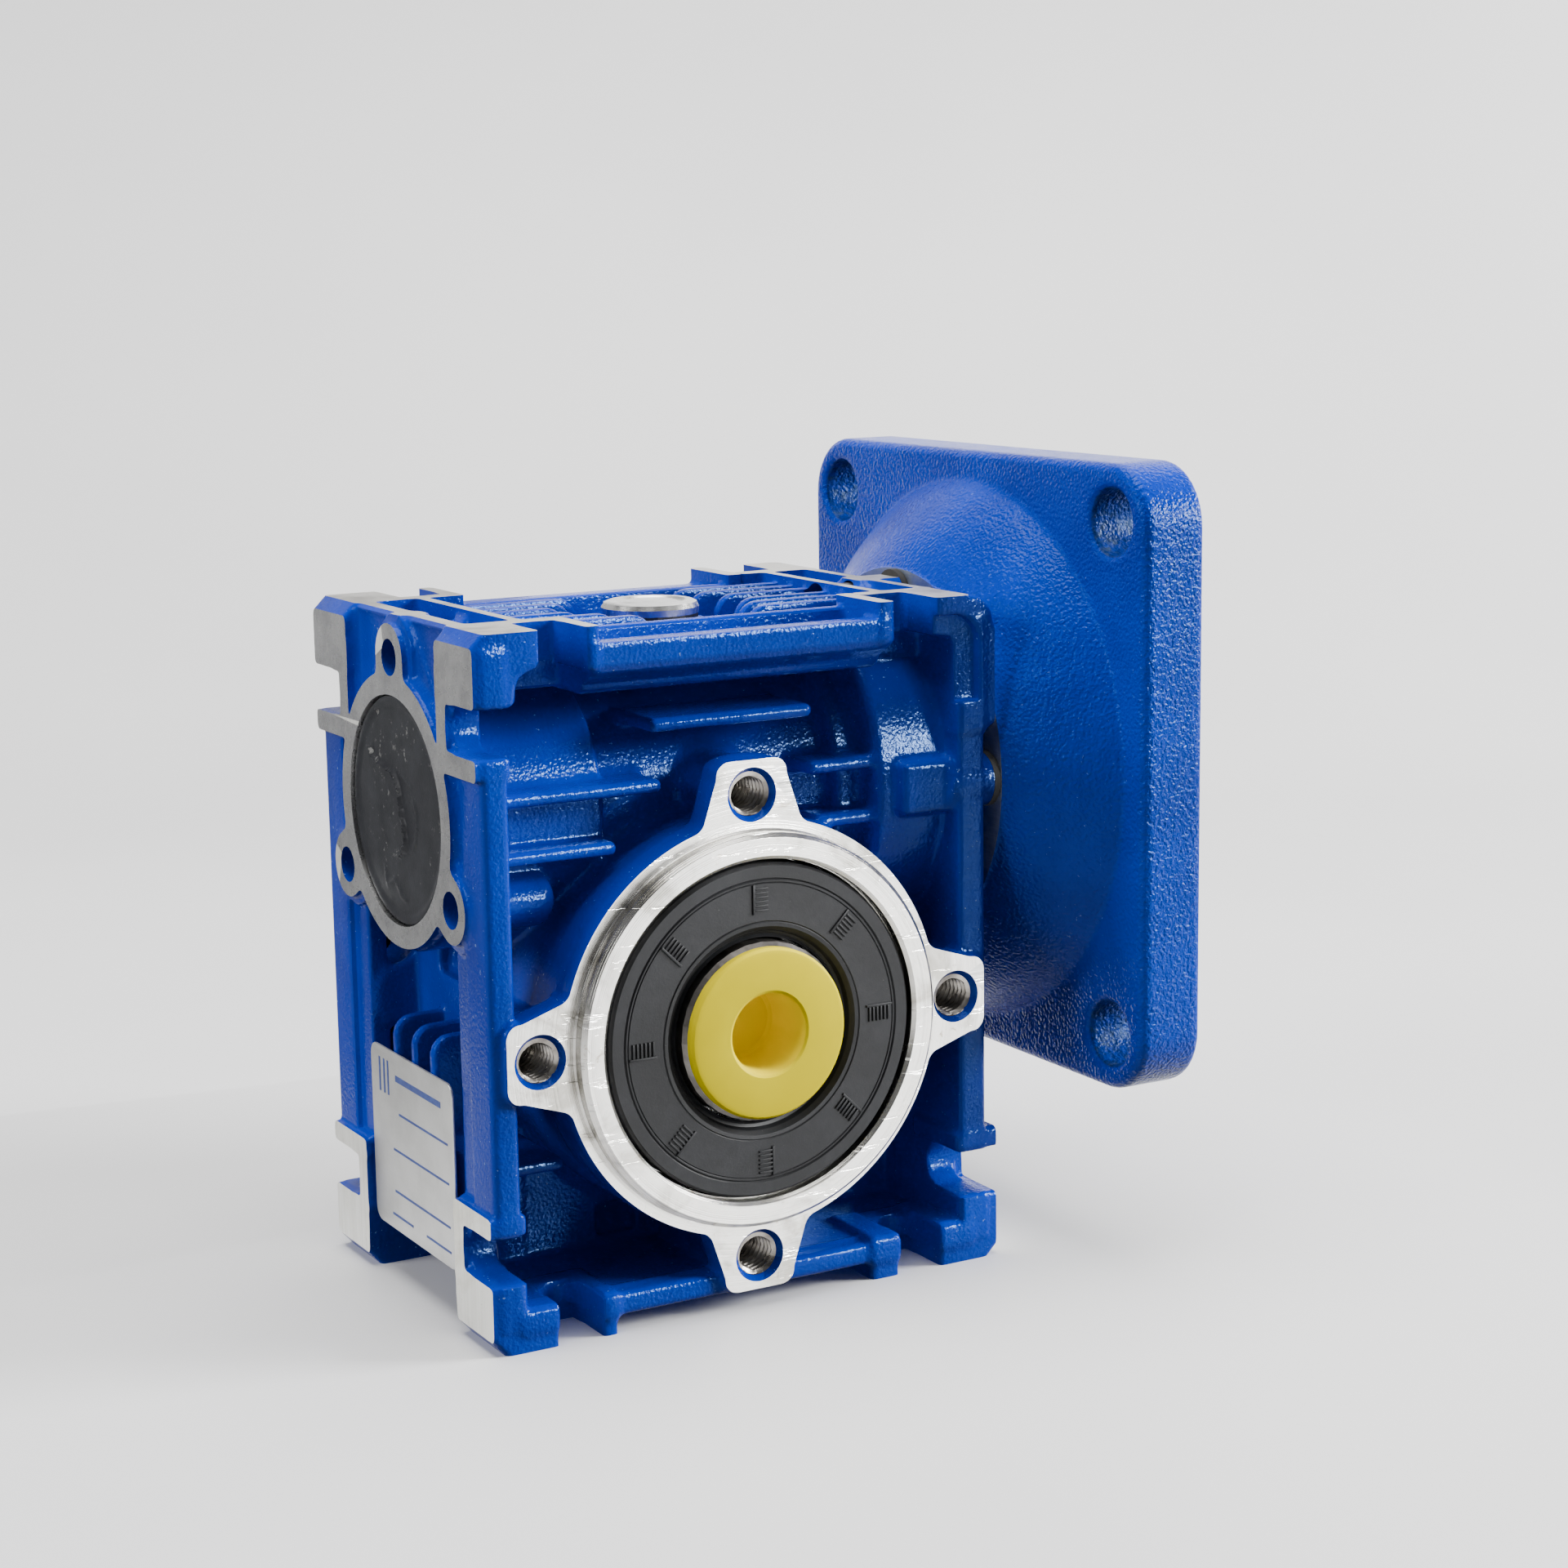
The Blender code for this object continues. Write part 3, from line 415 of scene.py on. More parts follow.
def faces_of(mesh):
    """Every face's centre and normal, in millimetres."""
    count = len(mesh.polygons)
    centres, normals = np.empty(count * 3, np.float32), np.empty(count * 3, np.float32)
    mesh.polygons.foreach_get("center", centres)
    mesh.polygons.foreach_get("normal", normals)
    return centres.reshape(-1, 3), normals.reshape(-1, 3)


def thinned(obj, ratio):
    step = obj.modifiers.new("thin", "DECIMATE")
    step.ratio = ratio
    return bake_modifiers(obj)


def finished(obj, materials, body, nodes=(), indices=None, angle=30):
    """Moves a piece into the frame, and gives it its materials and its body."""
    mesh = obj.data
    kept = np.zeros(len(mesh.polygons), np.int32)
    if indices is None:
        mesh.polygons.foreach_get("material_index", kept)
    else:
        kept[:] = indices
    mesh.materials.clear()
    for mat in materials:
        mesh.materials.append(mat)
    mesh.polygons.foreach_set("material_index", kept)
    mesh.transform(Matrix.Translation((SHIFT * MM, 0, 0)) @ Matrix.Scale(MM, 4))
    mesh.shade_smooth()
    mesh.set_sharp_from_angle(angle=math.radians(angle))
    mesh.update()
    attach(obj, body)
    if nodes:
        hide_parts(*nodes)
    return obj


# ---------------------------------------------------------------- materials
class Nodes:
    """A material's node tree, with short calls for the nodes used here."""

    def __init__(self, name):
        self.material = bpy.data.materials.new(name)
        self.material.use_nodes = True
        self.tree = self.material.node_tree
        self.shader = self.tree.nodes["Principled BSDF"]
        self.place = self.new("ShaderNodeTexCoord").outputs["Object"]

    def new(self, kind, **values):
        node = self.tree.nodes.new(kind)
        for key, value in values.items():
            setattr(node, key, value)
        return node

    def link(self, source, target):
        self.tree.links.new(source, target)

    def set(self, **values):
        for key, value in values.items():
            self.shader.inputs[key.replace("_", " ")].default_value = value

    def stretched(self, scale=(1, 1, 1), location=(0, 0, 0), rotation=(0, 0, 0)):
        node = self.new("ShaderNodeMapping")
        node.inputs["Scale"].default_value = scale
        node.inputs["Location"].default_value = location
        node.inputs["Rotation"].default_value = rotation
        self.link(self.place, node.inputs["Vector"])
        return node.outputs["Vector"]

    def noise(self, scale, detail=2.0, roughness=0.5, vector=None, distortion=0.0):
        node = self.new("ShaderNodeTexNoise")
        node.inputs["Scale"].default_value = scale
        node.inputs["Detail"].default_value = detail
        node.inputs["Roughness"].default_value = roughness
        node.inputs["Distortion"].default_value = distortion
        self.link(vector or self.place, node.inputs["Vector"])
        return node.outputs["Fac"]

    def cells(self, scale, vector=None, feature="F1", randomness=1.0):
        node = self.new("ShaderNodeTexVoronoi", feature=feature)
        node.inputs["Scale"].default_value = scale
        node.inputs["Randomness"].default_value = randomness
        self.link(vector or self.place, node.inputs["Vector"])
        return node.outputs["Distance"]

    def ramp(self, source, *stops):
        node = self.new("ShaderNodeValToRGB")
        node.color_ramp.interpolation = "EASE"
        while len(node.color_ramp.elements) < len(stops):
            node.color_ramp.elements.new(0.5)
        for element, (at, colour) in zip(node.color_ramp.elements, stops):
            element.position = at
            element.color = (*colour, 1) if isinstance(colour, tuple) else (colour, colour, colour, 1)
        self.link(source, node.inputs["Fac"])
        return node.outputs["Color"]

    def math(self, operation, one, two=None, three=None, clamp=False):
        node = self.new("ShaderNodeMath", operation=operation, use_clamp=clamp)
        for socket, value in zip(node.inputs, (one, two, three)):
            if value is None:
                continue
            if isinstance(value, (int, float)):
                socket.default_value = value
            else:
                self.link(value, socket)
        return node.outputs[0]

    def mix(self, factor, one, two, blend="MIX"):
        node = self.new("ShaderNodeMix", data_type="RGBA", blend_type=blend)
        for socket, value in zip((node.inputs[0], node.inputs[6], node.inputs[7]), (factor, one, two)):
            if isinstance(value, (int, float)):
                socket.default_value = value
            elif isinstance(value, tuple):
                socket.default_value = (*value, 1)
            else:
                self.link(value, socket)
        return node.outputs[2]

    def bump(self, height, strength, distance, normal=None):
        node = self.new("ShaderNodeBump")
        node.inputs["Strength"].default_value = strength
        node.inputs["Distance"].default_value = distance
        self.link(height, node.inputs["Height"])
        if normal is not None:
            self.link(normal, node.inputs["Normal"])
        return node.outputs["Normal"]

    def done(self, colour=None, roughness=None, normal=None):
        for name, source in (("Base Color", colour), ("Roughness", roughness), ("Normal", normal)):
            if source is not None:
                self.link(source, self.shader.inputs[name])
        return self.material


def blue_paint(name, grain, fine, depth, speck=1.0, bolt_holes=False):
    """Thick glossy blue powder coat: a rolling orange peel with fine pimples.

    With bolt_holes, the straight walls of the motor holes are drilled through
    the coat and show flecks of sprayed-over metal, darkened with painted shade inside the holes."""
    m = Nodes(name)
    m.set(Metallic=0.0, IOR=1.45, Specular_IOR_Level=0.24, Specular_Tint=(0.22, 0.45, 1.0, 1.0))
    broad = m.noise(55, 3, 0.55)
    colour = m.ramp(broad, (0.3, (0.000, 0.026, 0.35)), (0.7, (0.000, 0.039, 0.48)))
    dust = m.ramp(m.noise(1500, 2, 0.6), (0.695, 0.0), (0.75, 0.5 * speck))
    colour = m.mix(dust, colour, (0.30, 0.50, 0.85))
    rough = m.math("MULTIPLY_ADD", m.noise(260, 3, 0.6), 0.16, 0.11)
    if bolt_holes:
        split = m.new("ShaderNodeSeparateXYZ")
        m.link(m.stretched(location=(0, 0, -WORM_Z * MM)), split.inputs[0])
        u, v = [m.math("SUBTRACT", m.math("ABSOLUTE", split.outputs[i]), 0.03677) for i in (1, 2)]
        out = m.math("SQRT", m.math("ADD", m.math("MULTIPLY", u, u), m.math("MULTIPLY", v, v)))
        # Hole walls: near black-blue as painted shade inside the holes, with grey flecks of sprayed-over metal.
        wall = m.math("MULTIPLY", m.math("SUBTRACT", 0.00505, out), 6000.0, clamp=True)
        wall = m.math("MULTIPLY", wall, m.ramp(m.noise(900, 3, 0.7), (0.38, 0.55), (0.60, 1.0)))
        colour = m.mix(wall, colour, m.ramp(m.noise(420, 4, 0.7), (0.45, (0.0, 0.016, 0.12)), (0.66, (0.03, 0.055, 0.13)), (0.78, (0.09, 0.11, 0.15))))
        rough = m.math("MULTIPLY_ADD", wall, 0.25, rough)
    peel = m.noise(grain, 1.2, 0.4)
    pimple = m.cells(fine, feature="SMOOTH_F1")
    normal = m.bump(peel, 1.0, depth)
    normal = m.bump(m.math("SUBTRACT", 1.0, pimple), 0.6, depth * 0.4, normal)
    return m.done(colour, rough, normal)


def bare_metal(name, lines, tint=(0.80, 0.79, 0.76), dark=(0.50, 0.49, 0.46), rings=None, roughness=0.36, bite=0.00004, stains=1.0, pitch=900, lined=0.0, metallic=1.0):
    """Milled or turned aluminium: fine tool lines, stains, nicks and scratches.

    lines is the direction across the tool marks, and rings is the (axis, height)
    of the axis they run round."""
    m = Nodes(name)
    m.set(Metallic=metallic)
    if rings is None:
        along = m.stretched(scale=tuple(1.0 if i == lines else 0.03 for i in range(3)))
        marks = m.noise(5200, 2, 0.6, vector=along)
        wide = m.noise(pitch, 2, 0.5, vector=along)
    else:
        axis, height = rings
        split = m.new("ShaderNodeSeparateXYZ")
        m.link(m.stretched(location=(-SHIFT * MM, 0, -height * MM)), split.inputs[0])
        one, two = [split.outputs[i] for i in range(3) if "XYZ"[i] != axis]
        out = m.math("SQRT", m.math("ADD", m.math("MULTIPLY", one, one), m.math("MULTIPLY", two, two)))
        joint = m.new("ShaderNodeCombineXYZ")
        m.link(out, joint.inputs[0])
        m.link(m.math("MULTIPLY", split.outputs["XYZ".index(axis)], 1.0), joint.inputs[1])
        marks = m.noise(5600, 2, 0.6, vector=joint.outputs[0])
        wide = m.noise(700, 2, 0.5, vector=joint.outputs[0])
    cloud = m.noise(75, 5, 0.65, distortion=0.6)
    colour = m.ramp(cloud, (0.32, dark), (0.52, tint), (0.75, tuple(min(1, c * 1.08) for c in tint)))
    colour = m.mix(m.ramp(marks, (0.35, 0.24), (0.6, 0.0)), colour, dark)
    if lined:
        colour = m.mix(m.ramp(wide, (0.40, lined), (0.56, 0.0)), colour, tuple(0.55 * c for c in dark))
    grime = m.ramp(m.noise(330, 4, 0.7, distortion=1.2), (0.62, 0.0), (0.74, 0.65 * stains))
    colour = m.mix(grime, colour, (0.20, 0.16, 0.10))
    nicks = m.ramp(m.noise(1500, 3, 0.75), (0.70, 0.0), (0.76, 0.8))
    colour = m.mix(nicks, colour, (0.12, 0.11, 0.10))
    rough = m.math("MULTIPLY_ADD", cloud, 0.22, roughness - 0.08)
    scratch = m.noise(420, 4, 0.8, vector=m.stretched(scale=(0.12, 0.12, 1.6), rotation=(0.5, 0.7, 0.4)))
    cuts = m.ramp(scratch, (0.60, 0.0), (0.66, 1.0))
    normal = m.bump(m.math("ADD", marks, m.math("MULTIPLY", wide, 1.2)), 0.5, bite)
    normal = m.bump(m.math("SUBTRACT", 1.0, cuts), 0.35, bite * 1.5, normal)
    return m.done(colour, rough, normal)


def steel(name, tint, roughness, dark, grain=2400, bite=0.00002, metallic=1.0):
    m = Nodes(name)
    m.set(Metallic=metallic)
    cloud = m.noise(180, 4, 0.6)
    colour = m.ramp(cloud, (0.3, dark), (0.65, tint))
    rough = m.math("MULTIPLY_ADD", m.noise(600, 3, 0.6), 0.2, roughness - 0.1)
    normal = m.bump(m.noise(grain, 3, 0.6), 0.5, bite)
    return m.done(colour, rough, normal)


def rubber(name, base, lighter, roughness, bite=0.00004, dust=0.25, flakes=0.0):
    m = Nodes(name)
    m.set(Metallic=0.0, IOR=1.45, Specular_IOR_Level=0.22)
    cloud = m.noise(120, 4, 0.65)
    colour = m.ramp(cloud, (0.35, base), (0.75, lighter))
    specks = m.ramp(m.noise(1900, 2, 0.6), (0.73, 0.0), (0.78, dust))
    colour = m.mix(specks, colour, (0.35, 0.35, 0.34))
    if flakes:
        patch = m.math("MULTIPLY", m.ramp(m.noise(620, 5, 0.75), (0.60, 0.0), (0.64, flakes)), m.ramp(m.noise(95, 2, 0.5), (0.48, 0.0), (0.60, 1.0)))
        colour = m.mix(patch, colour, (0.26, 0.26, 0.25))
    rough = m.math("MULTIPLY_ADD", m.noise(400, 3, 0.6), 0.2, roughness - 0.1)
    normal = m.bump(m.noise(3200, 3, 0.6), 0.4, bite)
    return m.done(colour, rough, normal)


BLUE = blue_paint("blue_paint_cast", 1900, 3000, 0.000075)
BLUE_FLANGE = blue_paint("blue_paint_flange", 1900, 2800, 0.00023, speck=0.4, bolt_holes=True)
# The milled faces are all one aluminium: the x faces' lighter tint is painted light.
BARE_X_PAINTED_LIGHT = bare_metal("milled_face_x_painted_light", 1, tint=(0.95, 0.95, 0.90), dark=(0.78, 0.77, 0.69), roughness=0.48, bite=0.00004, stains=0.30, pitch=1500, lined=0.10, metallic=0.9)
BARE_Z = bare_metal("milled_face_z", 0, tint=(0.62, 0.61, 0.58), dark=(0.42, 0.41, 0.38), roughness=0.40)
# The y faces' darker tint is painted shade on the same milled aluminium.
BARE_Y_PAINTED_SHADE = bare_metal("milled_face_y_painted_shade", 2, tint=(0.56, 0.56, 0.545), dark=(0.40, 0.40, 0.385), roughness=0.22, bite=0.00008, stains=0.15, pitch=2000, lined=0.6)
TURNED = bare_metal("turned_register", 0, tint=(0.60, 0.59, 0.56), dark=(0.30, 0.29, 0.26), rings=("Y", OUT_Z), roughness=0.22, bite=0.00008, stains=1.1)
TURNED_X = bare_metal("turned_motor_face", 0, tint=(0.74, 0.73, 0.70), dark=(0.50, 0.49, 0.46), rings=("X", WORM_Z), roughness=0.36)
THREAD = steel("cut_thread", (0.34, 0.32, 0.29), 0.30, (0.10, 0.09, 0.08))
# Bare machined hub face whose blue-grey tint is a painted reflection of the blue paint round it.
HUB_FACE_PAINTED_REFLECTION = bare_metal("hub_face_painted_reflection", 2, tint=(0.40, 0.45, 0.55), dark=(0.24, 0.29, 0.42), roughness=0.45)
RUBBER = rubber("seal_rubber", (0.012, 0.0125, 0.014), (0.024, 0.025, 0.028), 0.42)
CAP = rubber("cap_rubber", (0.020, 0.021, 0.025), (0.036, 0.038, 0.043), 0.46, bite=0.00006, dust=0.8, flakes=0.75)
YELLOW = Nodes("plug_plastic")
YELLOW.set(Metallic=0.0, IOR=1.45, Specular_IOR_Level=0.06, Specular_Tint=(1.0, 0.85, 0.05, 1.0))
YELLOW = YELLOW.done(
    YELLOW.ramp(YELLOW.noise(90, 3, 0.6), (0.3, (0.94, 0.76, 0.000)), (0.7, (1.0, 0.82, 0.000))),
    YELLOW.math("MULTIPLY_ADD", YELLOW.noise(500, 3, 0.6), 0.2, 0.3),
    YELLOW.bump(YELLOW.noise(1800, 3, 0.5), 0.3, 0.00003),
)
GROUND = steel("ground_steel", (0.62, 0.62, 0.61), 0.28, (0.46, 0.46, 0.46))
ZINC = steel("zinc_plate", (0.80, 0.80, 0.78), 0.24, (0.62, 0.62, 0.61))
OXIDE = steel("black_oxide", (0.05, 0.05, 0.052), 0.38, (0.025, 0.025, 0.026), metallic=0.7)
BRONZE = steel("gear_bronze", (0.66, 0.40, 0.14), 0.28, (0.48, 0.27, 0.09))
# The gasket's near-black colour is painted shade for the dark gap between end wall and flange.
GASKET_PAINTED_SHADE = rubber("gasket_fibre", (0.035, 0.034, 0.032), (0.06, 0.058, 0.052), 0.8, dust=0.1)
SHAFT_RIM = steel("shaft_rim", (0.16, 0.15, 0.14), 0.42, (0.06, 0.055, 0.05))


def plate_material():
    """Silver rating plate: plain blue rules and boxes, with no lettering."""
    m = Nodes("rating_plate")
    m.set(Metallic=0.85)
    base = m.ramp(m.noise(140, 4, 0.6), (0.3, (0.62, 0.62, 0.60)), (0.7, (0.72, 0.72, 0.70)))
    brushed = m.noise(3800, 2, 0.6, vector=m.stretched(scale=(1, 0.04, 1)))
    rough = m.math("MULTIPLY_ADD", brushed, 0.2, 0.32)
    return m.done(base, rough, m.bump(brushed, 0.3, 0.00002))


PLATE = plate_material()
PLATE_INK = Nodes("plate_ink")
PLATE_INK.set(Metallic=0.0)
PLATE_INK = PLATE_INK.done(
    PLATE_INK.ramp(PLATE_INK.noise(700, 3, 0.6), (0.3, (0.02, 0.05, 0.26)), (0.7, (0.04, 0.09, 0.36))),
    PLATE_INK.math("MULTIPLY_ADD", PLATE_INK.noise(900, 2, 0.5), 0.15, 0.38),
    PLATE_INK.bump(PLATE_INK.noise(2500, 2, 0.5), 0.3, 0.00002),
)


# ------------------------------------------------------------------ housing
def ear_loop(centre_z=OUT_Z, turn=0, grow=0.0):
    g = grow
    loop = (
        [(8.6 + g, 24), (7.7 + g, 28.2), (5.45 + g, 35.0)] + arc(3.4, 35.2, 2.1 + g, 18, 88, 6)
        + arc(-3.4, 35.2, 2.1 + g, 92, 162, 6) + [(-5.45 - g, 35.0), (-7.7 - g, 28.2), (-8.6 - g, 24)]
    )
    return turned_loop(loop, turn, 0, centre_z)


def build_housing():
    h = Field((-42.0, -31.6, -1.6), (42.0, 30.6, 99.0), STEP)
    both = (-1, 1)

    # Corner blocks and posts of the box frame.
    low_left = [(-41, 3.2), (-37.4, -1), (-30.3, -1), (-30.3, 5.8), (-34.8, 5.8), (-34.8, 9.8), (-41, 9.8)]
    top_left = [(-41, 94.3), (-37.3, 98), (-30.3, 98), (-30.3, 92.9), (-30.8, 92.0), (-32.4, 91.5), (-33.4, 90.8), (-33.8, 89.6), (-33.9, 87.9), (-34.6, 87.2), (-41, 87.2)]
    low_right = [(30.2, -1), (37.8, -1), (41, 2.2), (41, 9.6), (38.2, 9.7), (33.9, 10.8), (33.9, 6.4), (30.2, 6.2)]
    top_right = (
        [(30.2, 98), (35.0, 98), (36.0, 97)] + arc(36.0, 93.0, 4.0, 90, 0, 8)
        + [(41, 92.2), (41, 79.0), (39.4, 78.0), (38.4, 77.4), (33.9, 77.4), (33.9, 90.2), (33.2, 91.2), (30.2, 91.6)]
    )
    for s in both:
        h.add(box((-39.2, s * 15.8, 3), (-35.3, s * 28, 95), 0.9))
        h.add(box((33.9, s * 10, 3), (38.4, s * 27.9, 94), 0.7))
    for s in both:
        h.add(prism("Y", low_left, s * 15.7, s * 28, 0.7), 0.8)
        h.add(prism("Y", top_left, s * 15.7, s * 28, 0.7), 1.0)
        h.add(prism("Y", low_right, s * 15.7, s * 28, 0.8), 1.0)
        h.add(prism("Y", top_right, s * 15.7, s * 28, 0.8), 0.8)
        # Short pads, arms and the neck at each slot's inner end.
        h.add(box((-24.0, s * 15.7, -1), (-21.5, s * 28, 5.8), 0.6), 0.8)
        h.add(box((18.8, s * 15.7, -1), (23.4, s * 28, 6.2), 0.6), 0.8)
        h.add(box((-24.0, s * 15.7, 91.2), (-21.6, s * 28, 98), 0.6), 0.8)
        h.add(box((21.1, s * 15.7, 91.2), (23.6, s * 28, 98), 0.6), 0.8)
        h.add(box((-41, s * 15.7, 16.2), (-34.6, s * 28, 19.2), 0.7), 0.5)
        h.add(box((-41, s * 15.7, 77.8), (-34.9, s * 28, 80.9), 0.7), 0.5)
        h.add(box((33.2, s * 15.7, 16.2), (41, s * 28, 19.4), 0.8), 0.5)
        h.add(box((-41, s * 15.7, 5), (-35, s * 18.8, 17.5), 0.6), 0.6)
        h.add(box((-41, s * 15.7, 79), (-35, s * 18.8, 92), 0.6), 0.6)
        h.add(box((34, s * 15.7, 5), (41, s * 18.8, 17.5), 0.6), 0.6)
        # Rails at the top and bottom, the thin second rail and the roof edge.
        h.add(box((-36, s * 24.2, 2.4), (36, s * 28, 5.5), 0.8), 1.2)
        h.add(box((-24, s * 15.7, -1), (-30, s * 18.8, 5.6), 0.5), 0.6)
        h.add(box((24, s * 15.7, -1), (30, s * 18.8, 5.6), 0.5), 0.6)
        h.add(box((-24, s * 15.7, 91.2), (-30.5, s * 18.8, 98), 0.5), 0.6)
        h.add(box((24, s * 15.7, 91.2), (30.5, s * 18.8, 98), 0.5), 0.6)
        edge = [
            (s * 28, 94.7), (s * 28, 91.7), (s * 27.3, 90.5), (s * 26.0, 89.8), (s * 24.8, 89.0), (s * 24.2, 87.9),
            (s * 23.2, 87.4), (s * 15, 87.8), (s * 15, 91.0), (s * 24.0, 91.0), (s * 24.0, 94.7),
        ]
        h.add(prism("X", edge, -23, 23, 0.3), 0.6)

    # Floor, roof, web and end walls.
    h.add(box((-36, -25, 2.4), (36, 25, 5.5), 0.6), 0.8)
    h.add(box((-35.5, -18.4, 88.0), (36, 18.4, 91.0), 0.6), 1.0)
    h.add(box((-27, -7.3, 4), (35, 7.3, 90), 0.8), 1.2)
    h.add(box((-36, -7.3, 4), (-26, 7.3, 24.6), 0.8), 1.2)
    h.add(box((-38.4, -16.5, 62), (-35.0, 16.5, 96.8), 0.6), 0.8)
    h.add(box((-37.6, -16.5, 2.4), (-35.0, 16.5, 24.6), 0.6), 0.8)
    h.add(box((34.0, -16.5, 3), (38.2, 16.5, 95), 0.8), 0.8)

    # Worm tunnel, bearing bosses and wheel boss.
    h.add(cyl("X", (0, WORM_Z), 17.6, -26, 22, 0.8), 1.6)
    h.add(cyl("X", (0, WORM_Z), 19.6, -39.0, -17.8, 0.8), 1.0)
    h.add(cyl("X", (0, WORM_Z), 20.4, 18.2, 26, 0.8), 0.8)
    h.add(cyl("X", (0, WORM_Z), 24.9, 22.4, 37, 1.2), 1.2)
    h.add(cyl("X", (0, WORM_Z), 21.2, 36.5, 41, 0.3), 0.5)
    for turn in (0, 90, 180, 270):
        a = math.radians(turn)
        h.add(cyl("X", (24 * math.cos(a), WORM_Z + 24 * math.sin(a)), 3.95, 33, 41, 0.3), 0.5)
    h.add(cyl("Y", (0, OUT_Z), 29.3, -26, 9, 0.8), 2.2)
    h.add(cyl("Y", (0, OUT_Z), 32.0, 8, 25, 0.8), 1.2)
    h.add(cyl("Y", (0, OUT_Z), 29.2, -30, -22, 0.3), 0.6)
    for turn in (0, 90, 180, 270):
        h.add(prism("Y", ear_loop(turn=turn), -30, -24.6, 0.35), 0.9)
        a = math.radians(turn + 90)
        x, z = 32.2 * math.cos(a), OUT_Z + 32.2 * math.sin(a)
        h.add(cyl("Y", (x, z), 4.9, -26.8, 24.6, 1.6), 1.8)
        a = math.radians(turn + 45)
        x, z = 30.5 * math.cos(a), OUT_Z + 30.5 * math.sin(a)
        h.add(cyl("Y", (x, z), 5.2, 8, 25, 0.8), 1.0)

    # Ribs beside the tunnel, screw bosses and the small ribs of the corners.
    for s in both:
        def rib(x0, x1, z, reach=24.0, thick=0.95):
            h.add(box((x0, s * 9, z - thick), (x1, s * reach, z + thick), 0.85), 0.9)

        rib(-12.6, 12.6, 82.3)
        rib(-36, -11.0, 74.1, 24.2)
        rib(12.0, 27, 74.1)
        rib(-36, -18.0, 66.3, 24.2)
        rib(13.0, 27, 66.4)
        h.add(box((25.4, s * 15, 66.3), (36, s * 26.8, 73.9), 1.0), 1.0)
        h.add(box((-36, s * 6, 23.0), (-27.0, s * 24, 24.8), 0.8), 0.8)
        h.add(cyl("X", (s * 18.2, 59.6), 3.7, -37, -25.6, 2.6), 1.4)
        h.cut(box((-14.4, s * 5.6, 6.6), (-8.4, s * 9, 11.3), 0.7), 0.5)
        # The sunk strip inside the rim of the input wall's upper corner.
        strip = [(32.0, 82.3), (37.2, 82.3)] + arc(33.3, 90.5, 3.9, 0, 90, 8) + [(29.0, 94.4), (29.0, 90.0), (32.0, 90.0)]
        h.cut(prism("Y", strip, s * 26.8, s * 30, 0.0), 0.5)

    # End wall: ring of the cap, its three ears, and the fins under the plate.
    for s in both:
        h.cut(box((-44, s * 14.0, 19.6), (-38.3, s * 20.7, 77.4), 0.2), 0.35)
    h.cut(box((-42, -15.4, 25.2), (-31.0, 15.4, 61.5), 0.8), 0.8)
    for s in both:
        h.cut(prism("X", [(s * 5.0, 96.0), (s * 14.9, 96.0), (s * 14.9, 83.4), (s * 9.5, 90.0)], -42, -38.0, 0.0), 0.5)
    h.add(cyl("X", (0, WORM_Z), 19.1, -41, -36, 0.25), 0.5)
    h.add(cyl("X", (0, WORM_Z), 19.6, -39.0, -17.8, 0.8), 0.8)
    for turn in (0, 120, 240):
        loop = [(-4.7, 10), (-4.7, 21.1)] + arc(0, 21.2, 4.7, 180, 0, 12)[1:-1] + [(4.7, 21.1), (4.7, 10)]
        h.add(prism("X", turned_loop(loop, turn, 0, WORM_Z), -41, -34.4, 0.25), 0.9)
    for turn in (0, 120, 240):
        loop = [(-6.1, 12), (-6.1, 21.1)] + arc(0, 21.2, 6.1, 180, 0, 12)[1:-1] + [(6.1, 21.1), (6.1, 12)]
        h.add(prism("X", turned_loop(loop, turn, 0, WORM_Z), -39.1, -34.4, 0.4), 0.5)
    for y in (-6.6, 0.0, 6.6):
        tip = [(-27.0, 5), (-38.7, 5)] + arc(-35.9, 36.6, 2.8, 180, 90, 6) + [(-27.0, 39.6)]
        h.add(prism("Y", tip, y - 0.85, y + 0.85, 0.6), 0.8)

    h.cut(box((-44, -15.6, -4), (-30.0, 15.6, 8.4), 0.5), 0.5)
    h.cut(box((-44, -15.6, -4), (-20.0, 15.6, 3.9), 0.5), 0.5)

    # Top: sunk floor, cross ribs, long thin rails and the fins round the plug.
    for x0, x1 in ((-37.4, -35.8), (-28.9, -27.3), (27.3, 28.9), (34.6, 36.2)):
        h.add(box((x0, -16.2, 88.5), (x1, 16.2, 98), 0.3), 0.8)
    h.add(box((-36.5, -1.9, 88.5), (-28, 1.9, 95.4), 0.6), 1.4)
    h.add(box((28.0, -4.4, 88.5), (36, 4.4, 95.8), 0.6), 1.2)
    for s in both:
        h.add(box((-28, s * 16.6, 89), (28, s * 18.3, 95.6), 0.4), 0.5)
    for y, left, right in ((3.0, 12.0, 12.0), (7.5, 9.0, 10.0), (12.0, 6.0, 9.0)):
        one = [(-28.5, 89)] + [(-28.5, 95.9)] + arc(-left - 3.2, 92.7, 3.2, 90, 0, 8) + [(-left, 89)]
        two = [(right, 89)] + arc(right + 3.2, 92.7, 3.2, 180, 90, 8) + [(28.0, 95.9), (28.0, 89)]
        for s in both:
            h.add(prism("Y", one, s * y - 0.8, s * y + 0.8, 0.3), 0.5)
            h.add(prism("Y", two, s * y - 0.8, s * y + 0.8, 0.3), 0.5)
    h.add(cyl("Z", (0, 0), 8.2, 86, 93.6, 0.6), 1.0)

